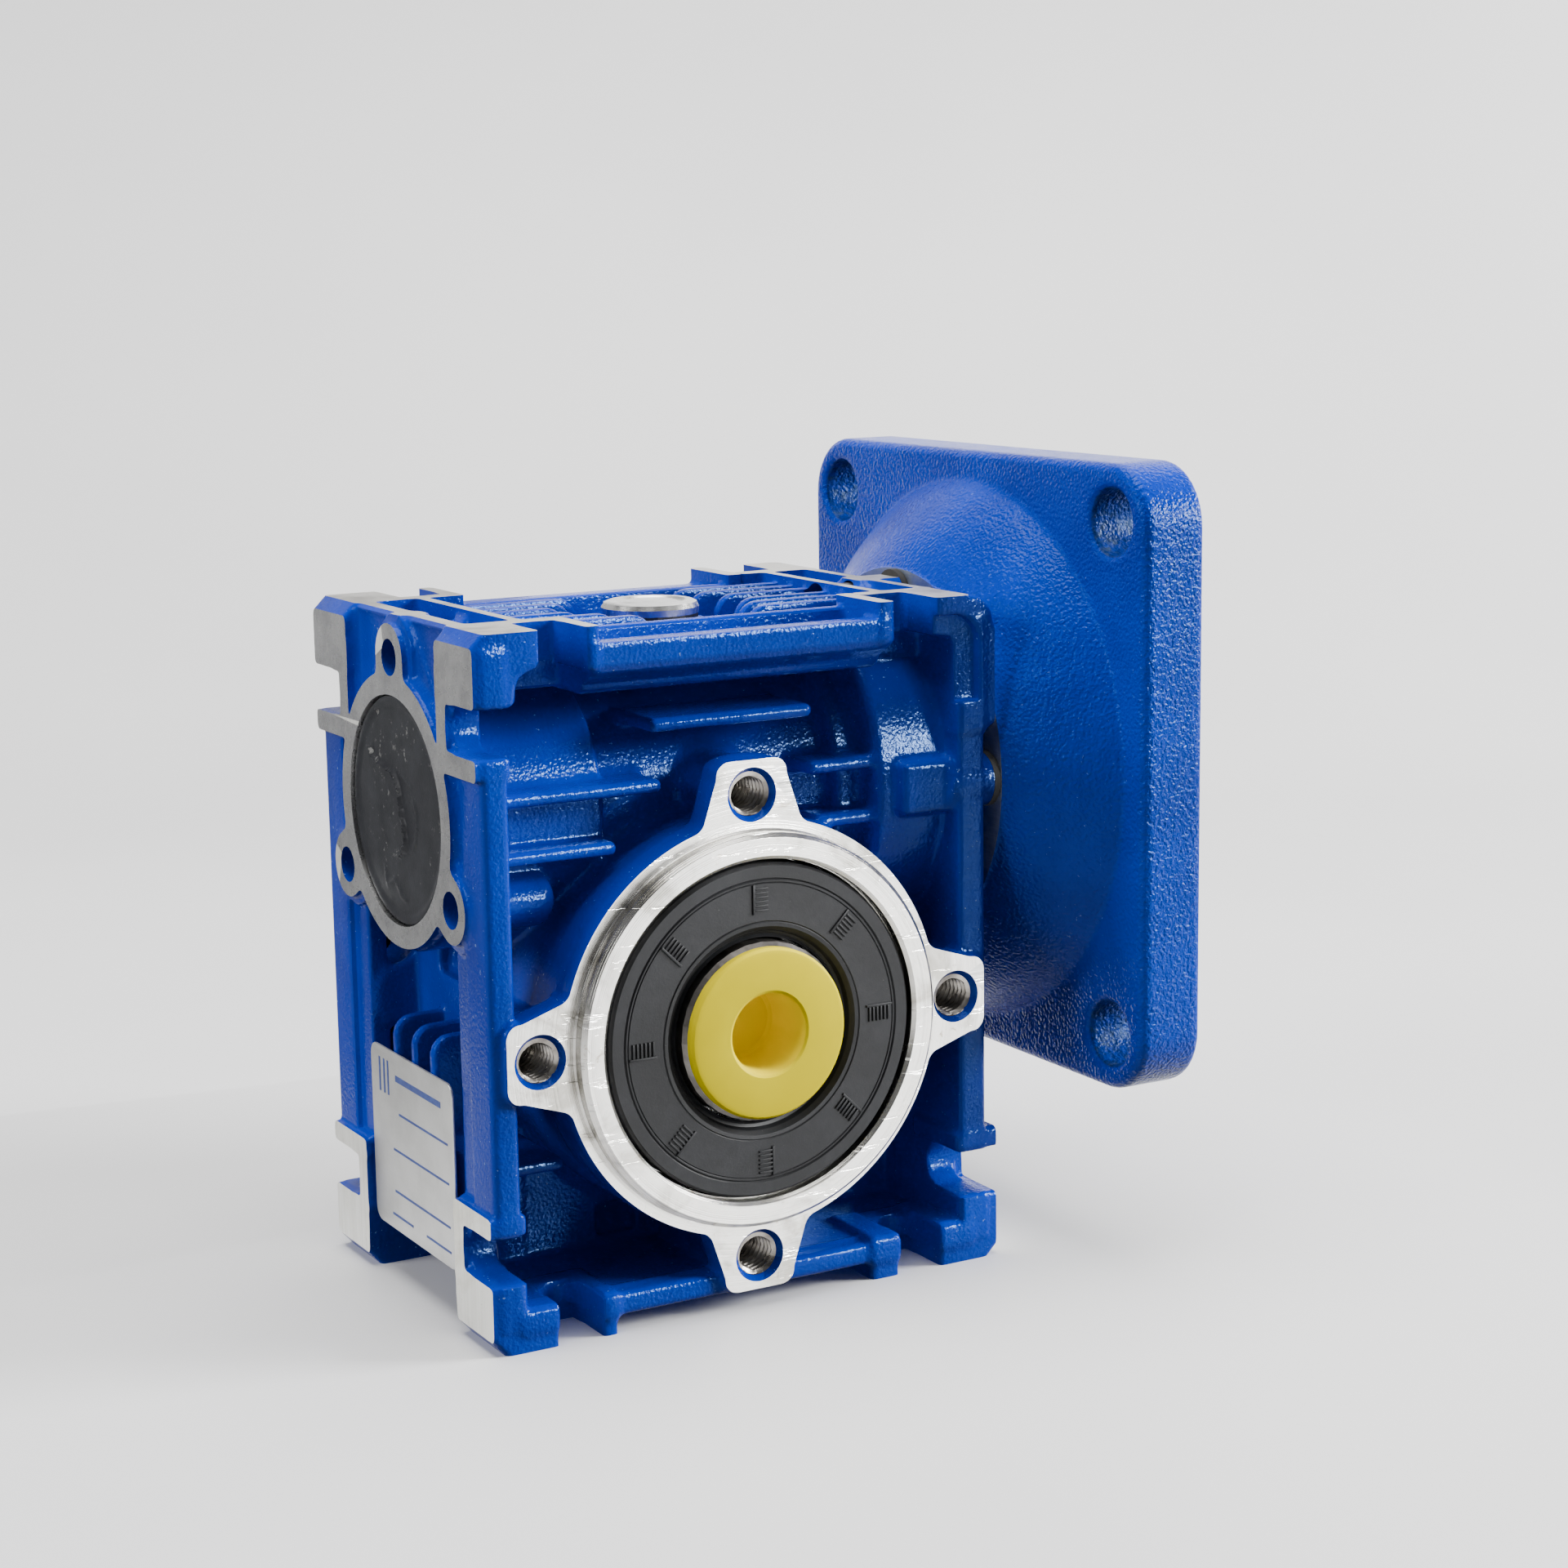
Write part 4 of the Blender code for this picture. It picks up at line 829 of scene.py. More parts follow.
    # Mounting slots, cast open towards the edges.
    for s in both:
        for x in (-27.0, 27.0):
            loop = [(x - 3.25, s * 31)] + [(x + 3.25 * math.cos(math.radians(a)), s * (22 - 3.25 * math.sin(math.radians(a)))) for a in range(180, -1, -15)] + [(x + 3.25, s * 31)]
            h.cut(prism("Z", loop, -3, 7.5, 0.0), 0.35)
            h.cut(prism("Z", loop, 86.0, 100, 0.0), 0.35)
        for x0, x1, heights in ((-43, -33.0, (13.0, 84.0)), (32.0, 43, (13.0,))):
            for z in heights:
                loop = [(s * 31, z - 3.25)] + [(s * (22 - 3.25 * math.cos(math.radians(a))), z + 3.25 * math.sin(math.radians(a))) for a in range(-90, 91, 15)] + [(s * 31, z + 3.25)]
                h.cut(prism("X", loop, x0, x1, 0.0), 0.35)

    # The hollow inside: wheel chamber and worm tunnel, kept clear of the seats.
    h.cut(cyl("Y", (0, OUT_Z), 25.6, -11.5, 13, 0.5), 0.0)
    h.cut(cyl("Y", (0, OUT_Z), 20.0, -23, 24, 0.5), 0.0)
    h.cut(cyl("X", (0, WORM_Z), 14.0, -26.5, 24, 0.5), 0.0)

    obj = h.surface("housing_casting")

    # Machining: everything past the milled planes comes off in one cut.
    boolean(obj, block("limits", (-40, -29, 0), (40, 45, 97)), "INTERSECT")
    register = lathe("register", "Y", (0, 0, OUT_Z), [
        (23.9, -23.0), (23.9, -31.0), (24.4, -31.5), (26.9, -31.5), (27.5, -30.9), (27.5, -29.25), (27.75, -29.0), (27.75, -28.6), (28.2, -28.2), (28.2, -23.0),
    ], 192)
    boolean(obj, register, "UNION")
    tools = [
        lathe("t", "Y", (0, 0, OUT_Z), [(0, -33), (23.8, -33), (23.8, -11.8), (0, -11.8)], 144),
        lathe("t", "Y", (0, 0, OUT_Z), [(0, 12.2), (28.3, 12.2), (28.3, 31), (0, 31)], 144),
        lathe("t", "X", (0, 0, WORM_Z), [(0, -43), (16.02, -43), (16.02, -24.2), (0, -24.2)], 160),
        lathe("t", "X", (0, 0, WORM_Z), [(0, 43), (18.8, 43), (18.8, 22.7), (0, 22.7)], 144),
    ]
    boolean(obj, joined("seats", tools), "DIFFERENCE")
    tools = [
        block("t", (-37.9, 24.9, OUT_Z - 8.7), (-34.0, 31, OUT_Z + 8.7)),
        block("t", (33.0, 24.9, OUT_Z - 8.7), (38.0, 31, OUT_Z + 8.7)),
        block("t", (-8.7, 24.9, 2.0), (8.7, 31, 8)),
    ]
    for turn in (90, 180, 270, 0):
        a = math.radians(turn)
        x, z = 32.5 * math.cos(a), OUT_Z + 32.5 * math.sin(a)
        tools.append(threaded("t", "Y", (x, 0, z), 3.0, 2.45, 1.0, -29.5, -17.0, mouth=(3.75, 0.95)))
        a = math.radians(turn + 45)
        x, z = 30.5 * math.cos(a), OUT_Z + 30.5 * math.sin(a)
        tools.append(lathe("t", "Y", (x, 0, z), [(0, 17.5), (2.4, 17.5), (2.4, 31), (0, 31)], 32))
    for turn in (90, 210, 330):
        a = math.radians(turn)
        tools.append(lathe("t", "X", (0, 21.2 * math.cos(a), WORM_Z + 21.2 * math.sin(a)), [(0, -43), (2.55, -43), (2.55, -31), (0, -30)], 48))
    boolean(obj, joined("holes", tools), "DIFFERENCE")
    tools = [
        lathe("t", "X", (0, 24.0 * math.cos(math.radians(a)), WORM_Z + 24.0 * math.sin(math.radians(a))), [(0, 26.5), (2.8, 26.5), (2.8, 43), (0, 43)], 40)
        for a in (0, 90, 180, 270)
    ]
    tools.append(lathe("t", "Z", (0, 0, 0), [(0, 76), (5.3, 76), (5.3, 94.4), (0, 94.4)], 48))
    boolean(obj, joined("flange_holes", tools), "DIFFERENCE")
    thinned(obj, min(1.0, 185000 / max(1, sum(len(p.vertices) - 2 for p in obj.data.polygons))))

    # Which faces the tools left bare.
    centre, normal = faces_of(obj.data)
    x, y, z = centre.T
    out = np.hypot(x, z - OUT_Z)
    worm = np.hypot(y, z - WORM_Z)
    index = np.zeros(len(centre), np.int32)
    index[(np.abs(x + 40) < 0.02) & (normal[:, 0] < -0.9)] = 1
    index[(np.abs(x - 40) < 0.02) & (normal[:, 0] > 0.9)] = 1
    index[(np.abs(z - 97) < 0.02) & (normal[:, 2] > 0.9)] = 2
    index[(np.abs(z) < 0.02) & (normal[:, 2] < -0.9)] = 2
    index[(np.abs(y + 29) < 0.02) & (normal[:, 1] < -0.9)] = 3
    index[(out < 27.9) & (out > 23.5) & (y < -28.55)] = 4
    index[(out < 23.95) & (y < -11)] = 4
    index[(out < 28.4) & (out > 27.5) & (y > 12)] = 4
    index[(worm < 16.7) & (x < -24)] = 5
    index[(worm < 18.9) & (x > 22.6)] = 5
    for turn in (90, 180, 270, 0):
        a = math.radians(turn)
        hole = np.hypot(x - 32.5 * math.cos(a), z - OUT_Z - 32.5 * math.sin(a))
        index[(hole < 3.3) & (y < -15) & (y > -28.15)] = 6
    finished(obj, [BLUE, BARE_X_PAINTED_LIGHT, BARE_Z, BARE_Y_PAINTED_SHADE, TURNED, GROUND, THREAD], "gearcase", ["housing"], index, 26)
    obj.data.polygons.foreach_set("use_smooth", ~np.isin(index, (1, 2, 3)))
    obj.data.update()
    return obj


# ------------------------------------------------------------------- flange
def build_flange():
    f = Field((40.0, -46.5, 23.5), (65.0, 46.5, 116.5), 0.45)
    plate = rounded_rect(-45, 25, 45, 115, 9.0, 12)
    f.add(prism("X", plate, 53.4, 64.2, 1.5))
    cone = [
        (0, 40.6), (27.9, 40.6), (28.2, 41.4), (29.6, 42.3), (31.9, 43.9), (34.4, 46.0), (36.7, 48.3), (38.8, 50.8),
        (40.9, 53.7), (41.3, 58), (0, 58),
    ]
    f.add(revolved("X", (0, WORM_Z), cone), 0.12)
    for sy in (-1, 1):
        for sz in (-1, 1):
            f.cut(cyl("X", (sy * 36.77, WORM_Z + sz * 36.77), 4.7, 50, 67, 0.0), 1.1)
    bell = [(0, 49.2), (17.0, 49.2), (23.5, 50.2), (29.0, 53.4), (34.0, 57.6), (36.0, 60.0), (36.0, 67), (0, 67)]
    f.cut(revolved("X", (0, WORM_Z), bell), 0.6)
    for turn in (0, 90, 180, 270):
        a = math.radians(turn)
        f.add(cyl("X", (24 * math.cos(a), WORM_Z + 24 * math.sin(a)), 6.2, 44, 51.0, 0.5), 0.8)
    obj = f.surface("flange_casting")
    boolean(obj, block("limits", (41.1, -60, -10), (63.4, 60, 130)), "INTERSECT")
    tools = [
        lathe("t", "X", (0, 0, WORM_Z), [(0, 70), (41.7, 70), (41.7, 63.3), (41.5, 63.1), (41.5, 60.0), (0, 60.0)], 192),
        lathe("t", "X", (0, 0, WORM_Z), [(0, 38), (13.4, 38), (13.4, 52.0), (0, 52.0)], 96),
    ]
    boolean(obj, tools[0], "DIFFERENCE")
    boolean(obj, tools[1], "DIFFERENCE")
    tools = []
    for turn in (0, 90, 180, 270):
        a = math.radians(turn)
        y, z = 24 * math.cos(a), WORM_Z + 24 * math.sin(a)
        tools.append(lathe("t", "X", (0, y, z), [(0, 38), (2.9, 38), (2.9, 47.2), (4.6, 47.2), (4.6, 56), (0, 56)], 48))
    boolean(obj, joined("screw_holes", tools), "DIFFERENCE")
    thinned(obj, min(1.0, 110000 / max(1, sum(len(p.vertices) - 2 for p in obj.data.polygons))))
    centre, normal = faces_of(obj.data)
    x, y, z = centre.T
    worm = np.hypot(y, z - WORM_Z)
    index = np.zeros(len(centre), np.int32)
    index[(np.abs(x - 63.4) < 0.02) & (normal[:, 0] > 0.9)] = 1
    index[(worm > 41.2) & (worm < 41.8) & (x > 59.9) & (normal[:, 0] > -0.5) & (np.abs(normal[:, 0]) < 0.9)] = 1
    index[(np.abs(x - 60.0) < 0.02) & (worm < 41.6)] = 1
    index[(np.abs(x - 41.1) < 0.03) & (normal[:, 0] < -0.9)] = 2
    return finished(obj, [BLUE_FLANGE, TURNED_X, HUB_FACE_PAINTED_REFLECTION], "gearcase", ["input_flange"], index, 26)


# ------------------------------------------------------------- output cover
def build_cover():
    c = Field((-39.5, 23.5, 0.5), (39.5, 33.0, 79.5), 0.4)
    c.add(cyl("Y", (0, OUT_Z), 35.2, 25.3, 30, 0.7))
    for turn in (0, 90, 180, 270):
        c.add(prism("Y", ear_loop(turn=turn), 25.3, 30, 0.5), 0.9)
        a = math.radians(turn + 45)
        c.add(cyl("Y", (30.5 * math.cos(a), OUT_Z + 30.5 * math.sin(a)), 5.6, 25.3, 29.6, 0.5), 0.8)
    obj = c.surface("cover_casting")
    boolean(obj, block("limits", (-60, 25.3, -20), (60, 29, 100)), "INTERSECT")
    ring = lathe("t", "Y", (0, 0, OUT_Z), [
        (22.0, 12.6), (28.0, 12.6), (28.0, 17.8), (26.6, 17.8), (26.6, 19.6), (28.0, 19.6), (28.0, 28.8), (27.5, 29.2), (27.5, 31.0), (27.0, 31.5), (22.0, 31.5),
    ], 192)
    boolean(obj, ring, "UNION")
    boolean(obj, lathe("t", "Y", (0, 0, OUT_Z), [(0, 11), (23.8, 11), (23.8, 31.0), (24.4, 31.6), (24.4, 33), (0, 33)], 144), "DIFFERENCE")
    tools = []
    for turn in (90, 180, 270, 0):
        a = math.radians(turn)
        tools.append(threaded("t", "Y", (32.5 * math.cos(a), 0, OUT_Z + 32.5 * math.sin(a)), 3.0, 2.45, 1.0, 29.5, 23.0, mouth=(3.75, 0.95)))
        a = math.radians(turn + 45)
        x, z = 30.5 * math.cos(a), OUT_Z + 30.5 * math.sin(a)
        tools.append(lathe("t", "Y", (x, 0, z), [(0, 23), (2.7, 23), (2.7, 27.2), (4.2, 27.2), (4.2, 33), (0, 33)], 48))
    boolean(obj, joined("holes", tools), "DIFFERENCE")
    thinned(obj, min(1.0, 70000 / max(1, sum(len(p.vertices) - 2 for p in obj.data.polygons))))
    centre, normal = faces_of(obj.data)
    x, y, z = centre.T
    out = np.hypot(x, z - OUT_Z)
    index = np.zeros(len(centre), np.int32)
    index[(np.abs(y - 29) < 0.02) & (normal[:, 1] > 0.9)] = 1
    index[(out < 28.3) & (y > 12) & ((out < 24.6) | (y > 29.02) | (y < 25.4))] = 2
    for turn in (90, 180, 270, 0):
        a = math.radians(turn)
        hole = np.hypot(x - 32.5 * math.cos(a), z - OUT_Z - 32.5 * math.sin(a))
        index[(hole < 3.3) & (y < 28.15)] = 3
    return finished(obj, [BLUE, BARE_Y_PAINTED_SHADE, TURNED, THREAD], "gearcase", ["output_cover"], index, 26)


def build_wheel_rim():
    """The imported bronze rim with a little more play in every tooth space."""
    source = bpy.data.objects["worm_wheel_rim"]
    mesh = source.data.copy()
    mesh.transform(Matrix.Translation((-SHIFT, 0, 0)) @ Matrix.Scale(1 / MM, 4) @ source.matrix_world)
    half = math.pi / 50
    for v in mesh.vertices:
        x, y, z = v.co.x, v.co.y, v.co.z - OUT_Z
        radius = math.hypot(x, z)
        if radius < 20.0:
            continue
        angle = math.atan2(x, z)
        off = angle - math.copysign(math.atan2(abs(y), 5.0) / 25.0, y)
        off = (off + half) % (2 * half) - half
        if 1e-4 < abs(off) < half - 1e-4:
            angle += math.copysign(0.13 / radius, off)
        v.co.x, v.co.z = radius * math.sin(angle), OUT_Z + radius * math.cos(angle)
    obj = bpy.data.objects.new("wheel_rim_teeth", mesh)
    bpy.context.scene.collection.objects.link(obj)
    return finished(obj, [BRONZE], "wheel", ["worm_wheel_rim"], angle=30)


# ------------------------------------------------------- seals, plugs, screws
def build_gasket():
    """Thin fibre ring between wall and flange, with a lobe for each screw."""
    outline = []
    for k in range(240):
        a = 2 * math.pi * k / 240
        r = 21.4
        for turn in range(4):
            off = a - turn * math.pi / 2
            inside = 16 - (24 * math.sin(off)) ** 2
            if inside > 0 and math.cos(off) > 0:
                r = max(r, 24 * math.cos(off) + math.sqrt(inside))
        outline.append((r * math.cos(a), WORM_Z + r * math.sin(a)))
    obj = extruded("gasket_sheet", "X", outline, 40.04, 41.04)
    tools = [lathe("t", "X", (0, 0, WORM_Z), [(0, 39), (19.4, 39), (19.4, 42), (0, 42)], 96)]
    for turn in range(4):
        a = turn * math.pi / 2
        tools.append(lathe("t", "X", (0, 24 * math.cos(a), WORM_Z + 24 * math.sin(a)), [(0, 39), (2.6, 39), (2.6, 42), (0, 42)], 32))
    boolean(obj, joined("gasket_holes", tools), "DIFFERENCE")
    return finished(obj, [GASKET_PAINTED_SHADE], "gearcase", ["flange_gasket"], angle=30)


def comb(radius0, radius1, width, count, turn, y0, y1, cx=0.0, cz=OUT_Z):
    """The raised ticks of one comb: short bars across a radius."""
    bars = []
    for i in range(count):
        r = radius0 + (radius1 - radius0) * (i + 0.5) / count
        half = (radius1 - radius0) / count * 0.22
        loop = turned_loop([(r - half, -width / 2), (r + half, -width / 2), (r + half, width / 2), (r - half, width / 2)], turn, cx, cz)
        bars.append(extruded("bar", "Y", loop, y0, y1, 0.04))
    spine = turned_loop([(radius0 - 0.2, width / 2 + 0.02), (radius1 + 0.3, width / 2 + 0.02), (radius1 + 0.3, width / 2 + 0.36), (radius0 - 0.2, width / 2 + 0.36)], turn, cx, cz)
    bars.append(extruded("bar", "Y", spine, y0, y1, 0.04))
    return bars


def build_output_seal(side):
    s = -1 if side == "front" else 1
    face = s * 31.05
    body = lathe(f"output_{side}_seal_ring", "Y", (0, 0, OUT_Z), [
        (23.35, s * 24.6), (23.35, face + s * -0.5), (22.95, face), (21.3, face), (21.1, face - s * 0.18), (20.9, face), (20.75, face),
        (20.62, face - s * 0.12), (20.5, face), (15.4, face), (15.25, face - s * 0.12), (15.1, face), (14.6, face - s * 0.05), (14.0, face - s * 0.6),
        (13.7, face - s * 1.3), (13.3, face - s * 1.5), (12.95, face - s * 1.1), (12.85, face - s * 1.3), (13.0, face - s * 2.4), (13.6, face - s * 3.2), (13.6, s * 24.6),
    ], 192)
    parts = [body]
    for turn in range(0, 360, 45):
        parts += comb(16.6, 20.2, 2.0, 6, turn, face + s * 0.26, face - s * 0.1)
    obj = joined(f"output_{side}_seal_ring", parts)
    return finished(obj, [RUBBER], "gearcase", [f"output_{side}_seal"], angle=24)


def build_shaft_plug(side):
    s = -1 if side == "front" else 1
    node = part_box(f"{side}_shaft_plug")
    inner, outer = sorted((abs(node[0][1]), abs(node[1][1])))
    inner, outer = inner / MM * s, outer / MM * s
    profile = [
        (0, inner + s * 1.0), (4.2, inner), (6.0, inner), (6.4, inner + s * 0.6), (6.5, outer - s * 2.6), (11.3, outer - s * 2.4), (11.9, outer - s * 2.0), (11.95, outer - s * 0.55),
        (11.6, outer - s * 0.12), (11.1, outer), (6.1, outer - s * 0.06), (5.75, outer - s * 0.3), (5.45, outer - s * 1.0), (5.1, outer - s * 8.5), (4.6, outer - s * 9.0), (0, outer - s * 9.2),
    ]
    obj = lathe(f"{side}_plug_moulding", "Y", (0, 0, OUT_Z), profile, 128)
    return finished(obj, [YELLOW], "wheel", [f"{side}_shaft_plug"], angle=28)


def build_end_cap():
    """Pressed-in cap with a smeared ridge of sealant across its face."""
    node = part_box("rear_end_cap")
    face, back = node[0][0] / MM - SHIFT, node[1][0] / MM - SHIFT
    rings = [i * 0.32 for i in range(1, 49)]
    segments = 160
    ridge = [(9.6, 7.7), (8.9, 6.4), (5.2, 5.6), (1.2, 4.8), (-0.7, 2.8), (-1.2, 0.4), (-1.9, -2.3), (-2.2, -4.5), (-0.4, -6.4), (0.8, -6.0)]
    second = [(-0.7, 5.1), (-4.2, 3.9), (-5.9, 0.8), (-6.2, -1.8), (-4.7, -4.8), (-3.0, -5.6)]
    third = [(5.9, -9.0), (5.2, -11.4), (2.2, -10.0), (0.4, -12.0), (-1.6, -12.4)]

    def near(path, y, z):
        best = 1e9
        for (ay, az), (by, bz) in zip(path, path[1:]):
            ey, ez = by - ay, bz - az
            t = max(0.0, min(1.0, ((y - ay) * ey + (z - az) * ez) / (ey * ey + ez * ez)))
            best = min(best, math.hypot(y - ay - ey * t, z - az - ez * t))
        return best

    def height(y, z):
        wave = 0.35 * math.sin(2.1 * y + 0.6) + 0.3 * math.sin(3.3 * z + 1.1)
        tall = 0.62 * math.exp(-((near(ridge, y + wave * 0.5, z + wave * 0.3) / 0.27) ** 2))
        tall += 0.16 * math.exp(-((near(second, y + wave * 0.3, z) / 0.26) ** 2))
        tall += 0.2 * math.exp(-((near(third, y + wave * 0.4, z) / 0.3) ** 2))
        return tall

    bm = bmesh.new()
    centre = bm.verts.new((face + 0.35, 0, WORM_Z))
    loops = []
    for r in rings:
        ring = []
        for k in range(segments):
            a = 2 * math.pi * k / segments
            y, z = r * math.cos(a), r * math.sin(a)
            dish = 0.35 if r < 14.2 else 0.35 - 0.27 * min(1.0, (r - 14.2) / 0.9)
            ring.append(bm.verts.new((face + dish - height(y, z), y, WORM_Z + z)))
        loops.append(ring)
    for r, x in ((15.7, face + 0.12), (15.92, face + 0.4), (15.95, back - 0.5), (15.5, back), (14.0, back)):
        loops.append([bm.verts.new((x, r * math.cos(2 * math.pi * k / segments), WORM_Z + r * math.sin(2 * math.pi * k / segments))) for k in range(segments)])
    tail = bm.verts.new((back, 0, WORM_Z))
    for k in range(segments):
        n = (k + 1) % segments
        bm.faces.new((centre, loops[0][k], loops[0][n]))
        for one, two in zip(loops, loops[1:]):
            bm.faces.new((one[k], one[n], two[n], two[k]))
        bm.faces.new((loops[-1][k], loops[-1][n], tail))
    obj = from_bmesh("end_cap_disc", bm)
    return finished(obj, [CAP], "gearcase", ["rear_end_cap"], angle=35)


def build_oil_plug():
    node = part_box("oil_filler_plug")
    low, high = node[0][2] / MM, node[1][2] / MM
    profile = [
        (0, low), (4.4, low), (4.9, low + 0.5), (4.9, 94.0), (6.4, 94.05), (6.9, 94.5), (6.98, high - 0.9), (6.6, high - 0.25), (6.0, high), (5.2, high - 0.02),
        (4.7, high - 0.35), (4.2, high - 0.4), (3.6, high - 0.1), (0, high - 0.05),
    ]
    obj = lathe("oil_plug_turned", "Z", (0, 0, 0), profile, 128)
    return finished(obj, [ZINC], "gearcase", ["oil_filler_plug"], angle=26)


def build_input_seal():
    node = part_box("input_oil_seal")
    left, right = node[0][0] / MM - SHIFT, node[1][0] / MM - SHIFT
    profile = [
        (18.45, left + 0.3), (18.45, right - 0.4), (18.1, right), (16.9, right), (16.7, right - 0.25), (16.4, right - 0.25), (16.2, right), (12.6, right),
        (12.0, right - 0.7), (11.2, right - 0.5), (10.55, right - 1.0), (10.45, right - 1.5), (11.4, right - 2.6), (11.6, left), (18.0, left),
    ]
    obj = lathe("input_seal_ring", "X", (0, 0, WORM_Z), profile, 144)
    return finished(obj, [RUBBER], "gearcase", ["input_oil_seal"], angle=26)


def cap_screw(name, node_name, axis, centre, radius, socket, mat, head_first):
    """A socket screw between its node's ends: round head, hexagon socket, shank."""
    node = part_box(node_name)
    i = "XYZ".index(axis)
    low = node[0][i] / MM - (SHIFT if i == 0 else 0)
    high = node[1][i] / MM - (SHIFT if i == 0 else 0)
    top, tail = (low, high) if head_first else (high, low)
    s = 1 if top > tail else -1
    head = radius * 1.15
    shank = radius * 0.62
    profile = [
        (0, tail), (shank * 0.8, tail), (shank, tail + s * 0.4), (shank, top - s * head), (radius * 0.94, top - s * head), (radius, top - s * (head - 0.25)),
        (radius, top - s * 0.5), (radius * 0.9, top), (0, top),
    ]
    obj = lathe(name, axis, centre, profile, 72)
    order = {"X": (1, 2), "Y": (0, 2), "Z": (0, 1)}[axis]
    loop = [(centre[order[0]] + socket * math.cos(math.radians(60 * k + 30)), centre[order[1]] + socket * math.sin(math.radians(60 * k + 30))) for k in range(6)]
    boolean(obj, extruded("t", axis, loop, top + s * 1, top - s * head * 0.55), "DIFFERENCE")
    return finished(obj, [mat], "gearcase", [node_name], angle=30)


def build_screws():
    turns = {}
    for i in range(1, 5):
        low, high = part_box(f"cover_screw_{i}")
        x, z = (low[0] + high[0]) / 2 / MM - SHIFT, (low[2] + high[2]) / 2 / MM
        cap_screw(f"cover_screw_{i}_turned", f"cover_screw_{i}", "Y", (x, 0, z), 3.45, 1.55, ZINC, False)
        low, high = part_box(f"flange_screw_{i}")
        y, z = (low[1] + high[1]) / 2 / MM, (low[2] + high[2]) / 2 / MM
        turns[i] = (y, z)
        cap_screw(f"flange_screw_{i}_turned", f"flange_screw_{i}", "X", (0, y, z), 4.0, 2.0, OXIDE, False)
    return turns


def build_nameplate():
    """Thin plate on the fins, with plain ruled lines and empty boxes."""
    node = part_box("nameplate")
    x0, x1 = node[0][0] / MM - SHIFT, node[1][0] / MM - SHIFT
    plate = extruded("rating_plate", "X", rounded_rect(-14.5, 7.9, 14.5, 34.3, 1.9, 6), x0 + 0.02, x1, 0.08)
    count = len(plate.data.polygons)
    marks = []

    def bar(y0, z0, y1, z1):
        marks.append(extruded("rule", "X", [(y0, z0), (y1, z0), (y1, z1), (y0, z1)], x0 - 0.03, x0 + 0.1))

    for z in (25.4, 19.8, 13.6):
        bar(-12.6, z, 4.6 if z > 20 else 7.0, z + 0.34)
    bar(-12.6, 10.0, -4.0, 10.34)
    bar(0.8, 10.0, 8.2, 10.34)
    for y in (9.4, 8.0, 11.0):
        bar(y, 27.6, y + 0.5, 32.6)
    bar(-10.5, 30.2, 5.5, 31.1)
    obj = joined("rating_plate", [plate] + marks)
    index = np.zeros(len(obj.data.polygons), np.int32)
    index[count:] = 1
    return finished(obj, [PLATE, PLATE_INK], "gearcase", ["nameplate"], index, 30)


def build_shaft_end(side):
    """Turned rim of the hollow shaft around the plug, with its lead chamfer."""
    s = -1 if side == "front" else 1
    profile = [(12.06, s * 31.15), (12.14, s * 31.3), (12.32, s * 31.3), (12.46, s * 31.1), (12.46, s * 30.2), (12.06, s * 30.2)]
    obj = lathe(f"shaft_rim_{side}", "Y", (0, 0, OUT_Z), profile, 128)
    return finished(obj, [SHAFT_RIM], "wheel", angle=30)


build_housing()
build_flange()
build_cover()
for side in ("front", "rear"):
    build_output_seal(side)
    build_shaft_plug(side)
build_end_cap()
build_oil_plug()
build_input_seal()
build_screws()
build_nameplate()
build_gasket()
build_wheel_rim()

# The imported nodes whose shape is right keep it, with a finished material.
for nodes, mat in (
    (("output_hollow_shaft",), SHAFT_RIM),
    (("worm_shaft", "rear_bearing_shim"), GROUND),
    (("output_front_bearing_outer_ring", "output_front_bearing_inner_ring", "output_rear_bearing_outer_ring", "output_rear_bearing_inner_ring"), GROUND),
    (("worm_front_bearing_outer_ring", "worm_front_bearing_inner_ring", "worm_rear_bearing_outer_ring", "worm_rear_bearing_inner_ring"), GROUND),
    (("worm_bore_circlip", "worm_shaft_circlip"), OXIDE),
    (("cover_o_ring", "oil_plug_washer"), RUBBER),
):
    for name in nodes:
        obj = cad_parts[name] if isinstance(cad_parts[name], bpy.types.Object) else bpy.data.objects[name]
        if not obj.material_slots:
            obj.data.materials.append(mat)
        for slot in obj.material_slots:
            slot.material = mat


# -------------------------------------------------------- floor, light, view
def build_stage():
    bm = bmesh.new()
    path = [(-0.9, 0.0), (0.34, 0.0)] + [(0.34 + 0.3 * math.sin(math.radians(a)), 0.3 - 0.3 * math.cos(math.radians(a))) for a in range(6, 91, 6)] + [(0.64, 1.6)]
    turn = Matrix.Rotation(-0.5152, 3, "Z")
    rows = [[bm.verts.new(turn @ Vector((x, y, z))) for x in (-1.6, 1.6)] for y, z in path]
    for one, two in zip(rows, rows[1:]):
        bm.faces.new((one[0], one[1], two[1], two[0]))
    obj = from_bmesh("pale_sweep", bm)
    obj.data.shade_smooth()
    m = Nodes("pale_floor")
    m.set(Metallic=0.0)
    colour = m.ramp(m.noise(6, 3, 0.5), (0.3, (0.82, 0.82, 0.825)), (0.7, (0.86, 0.86, 0.86)))
    mat = m.done(colour, m.math("MULTIPLY_ADD", m.noise(30, 3, 0.6), 0.15, 0.42), m.bump(m.noise(900, 3, 0.6), 0.15, 0.00008))
    obj.data.materials.append(mat)
    obj.visible_diffuse = False


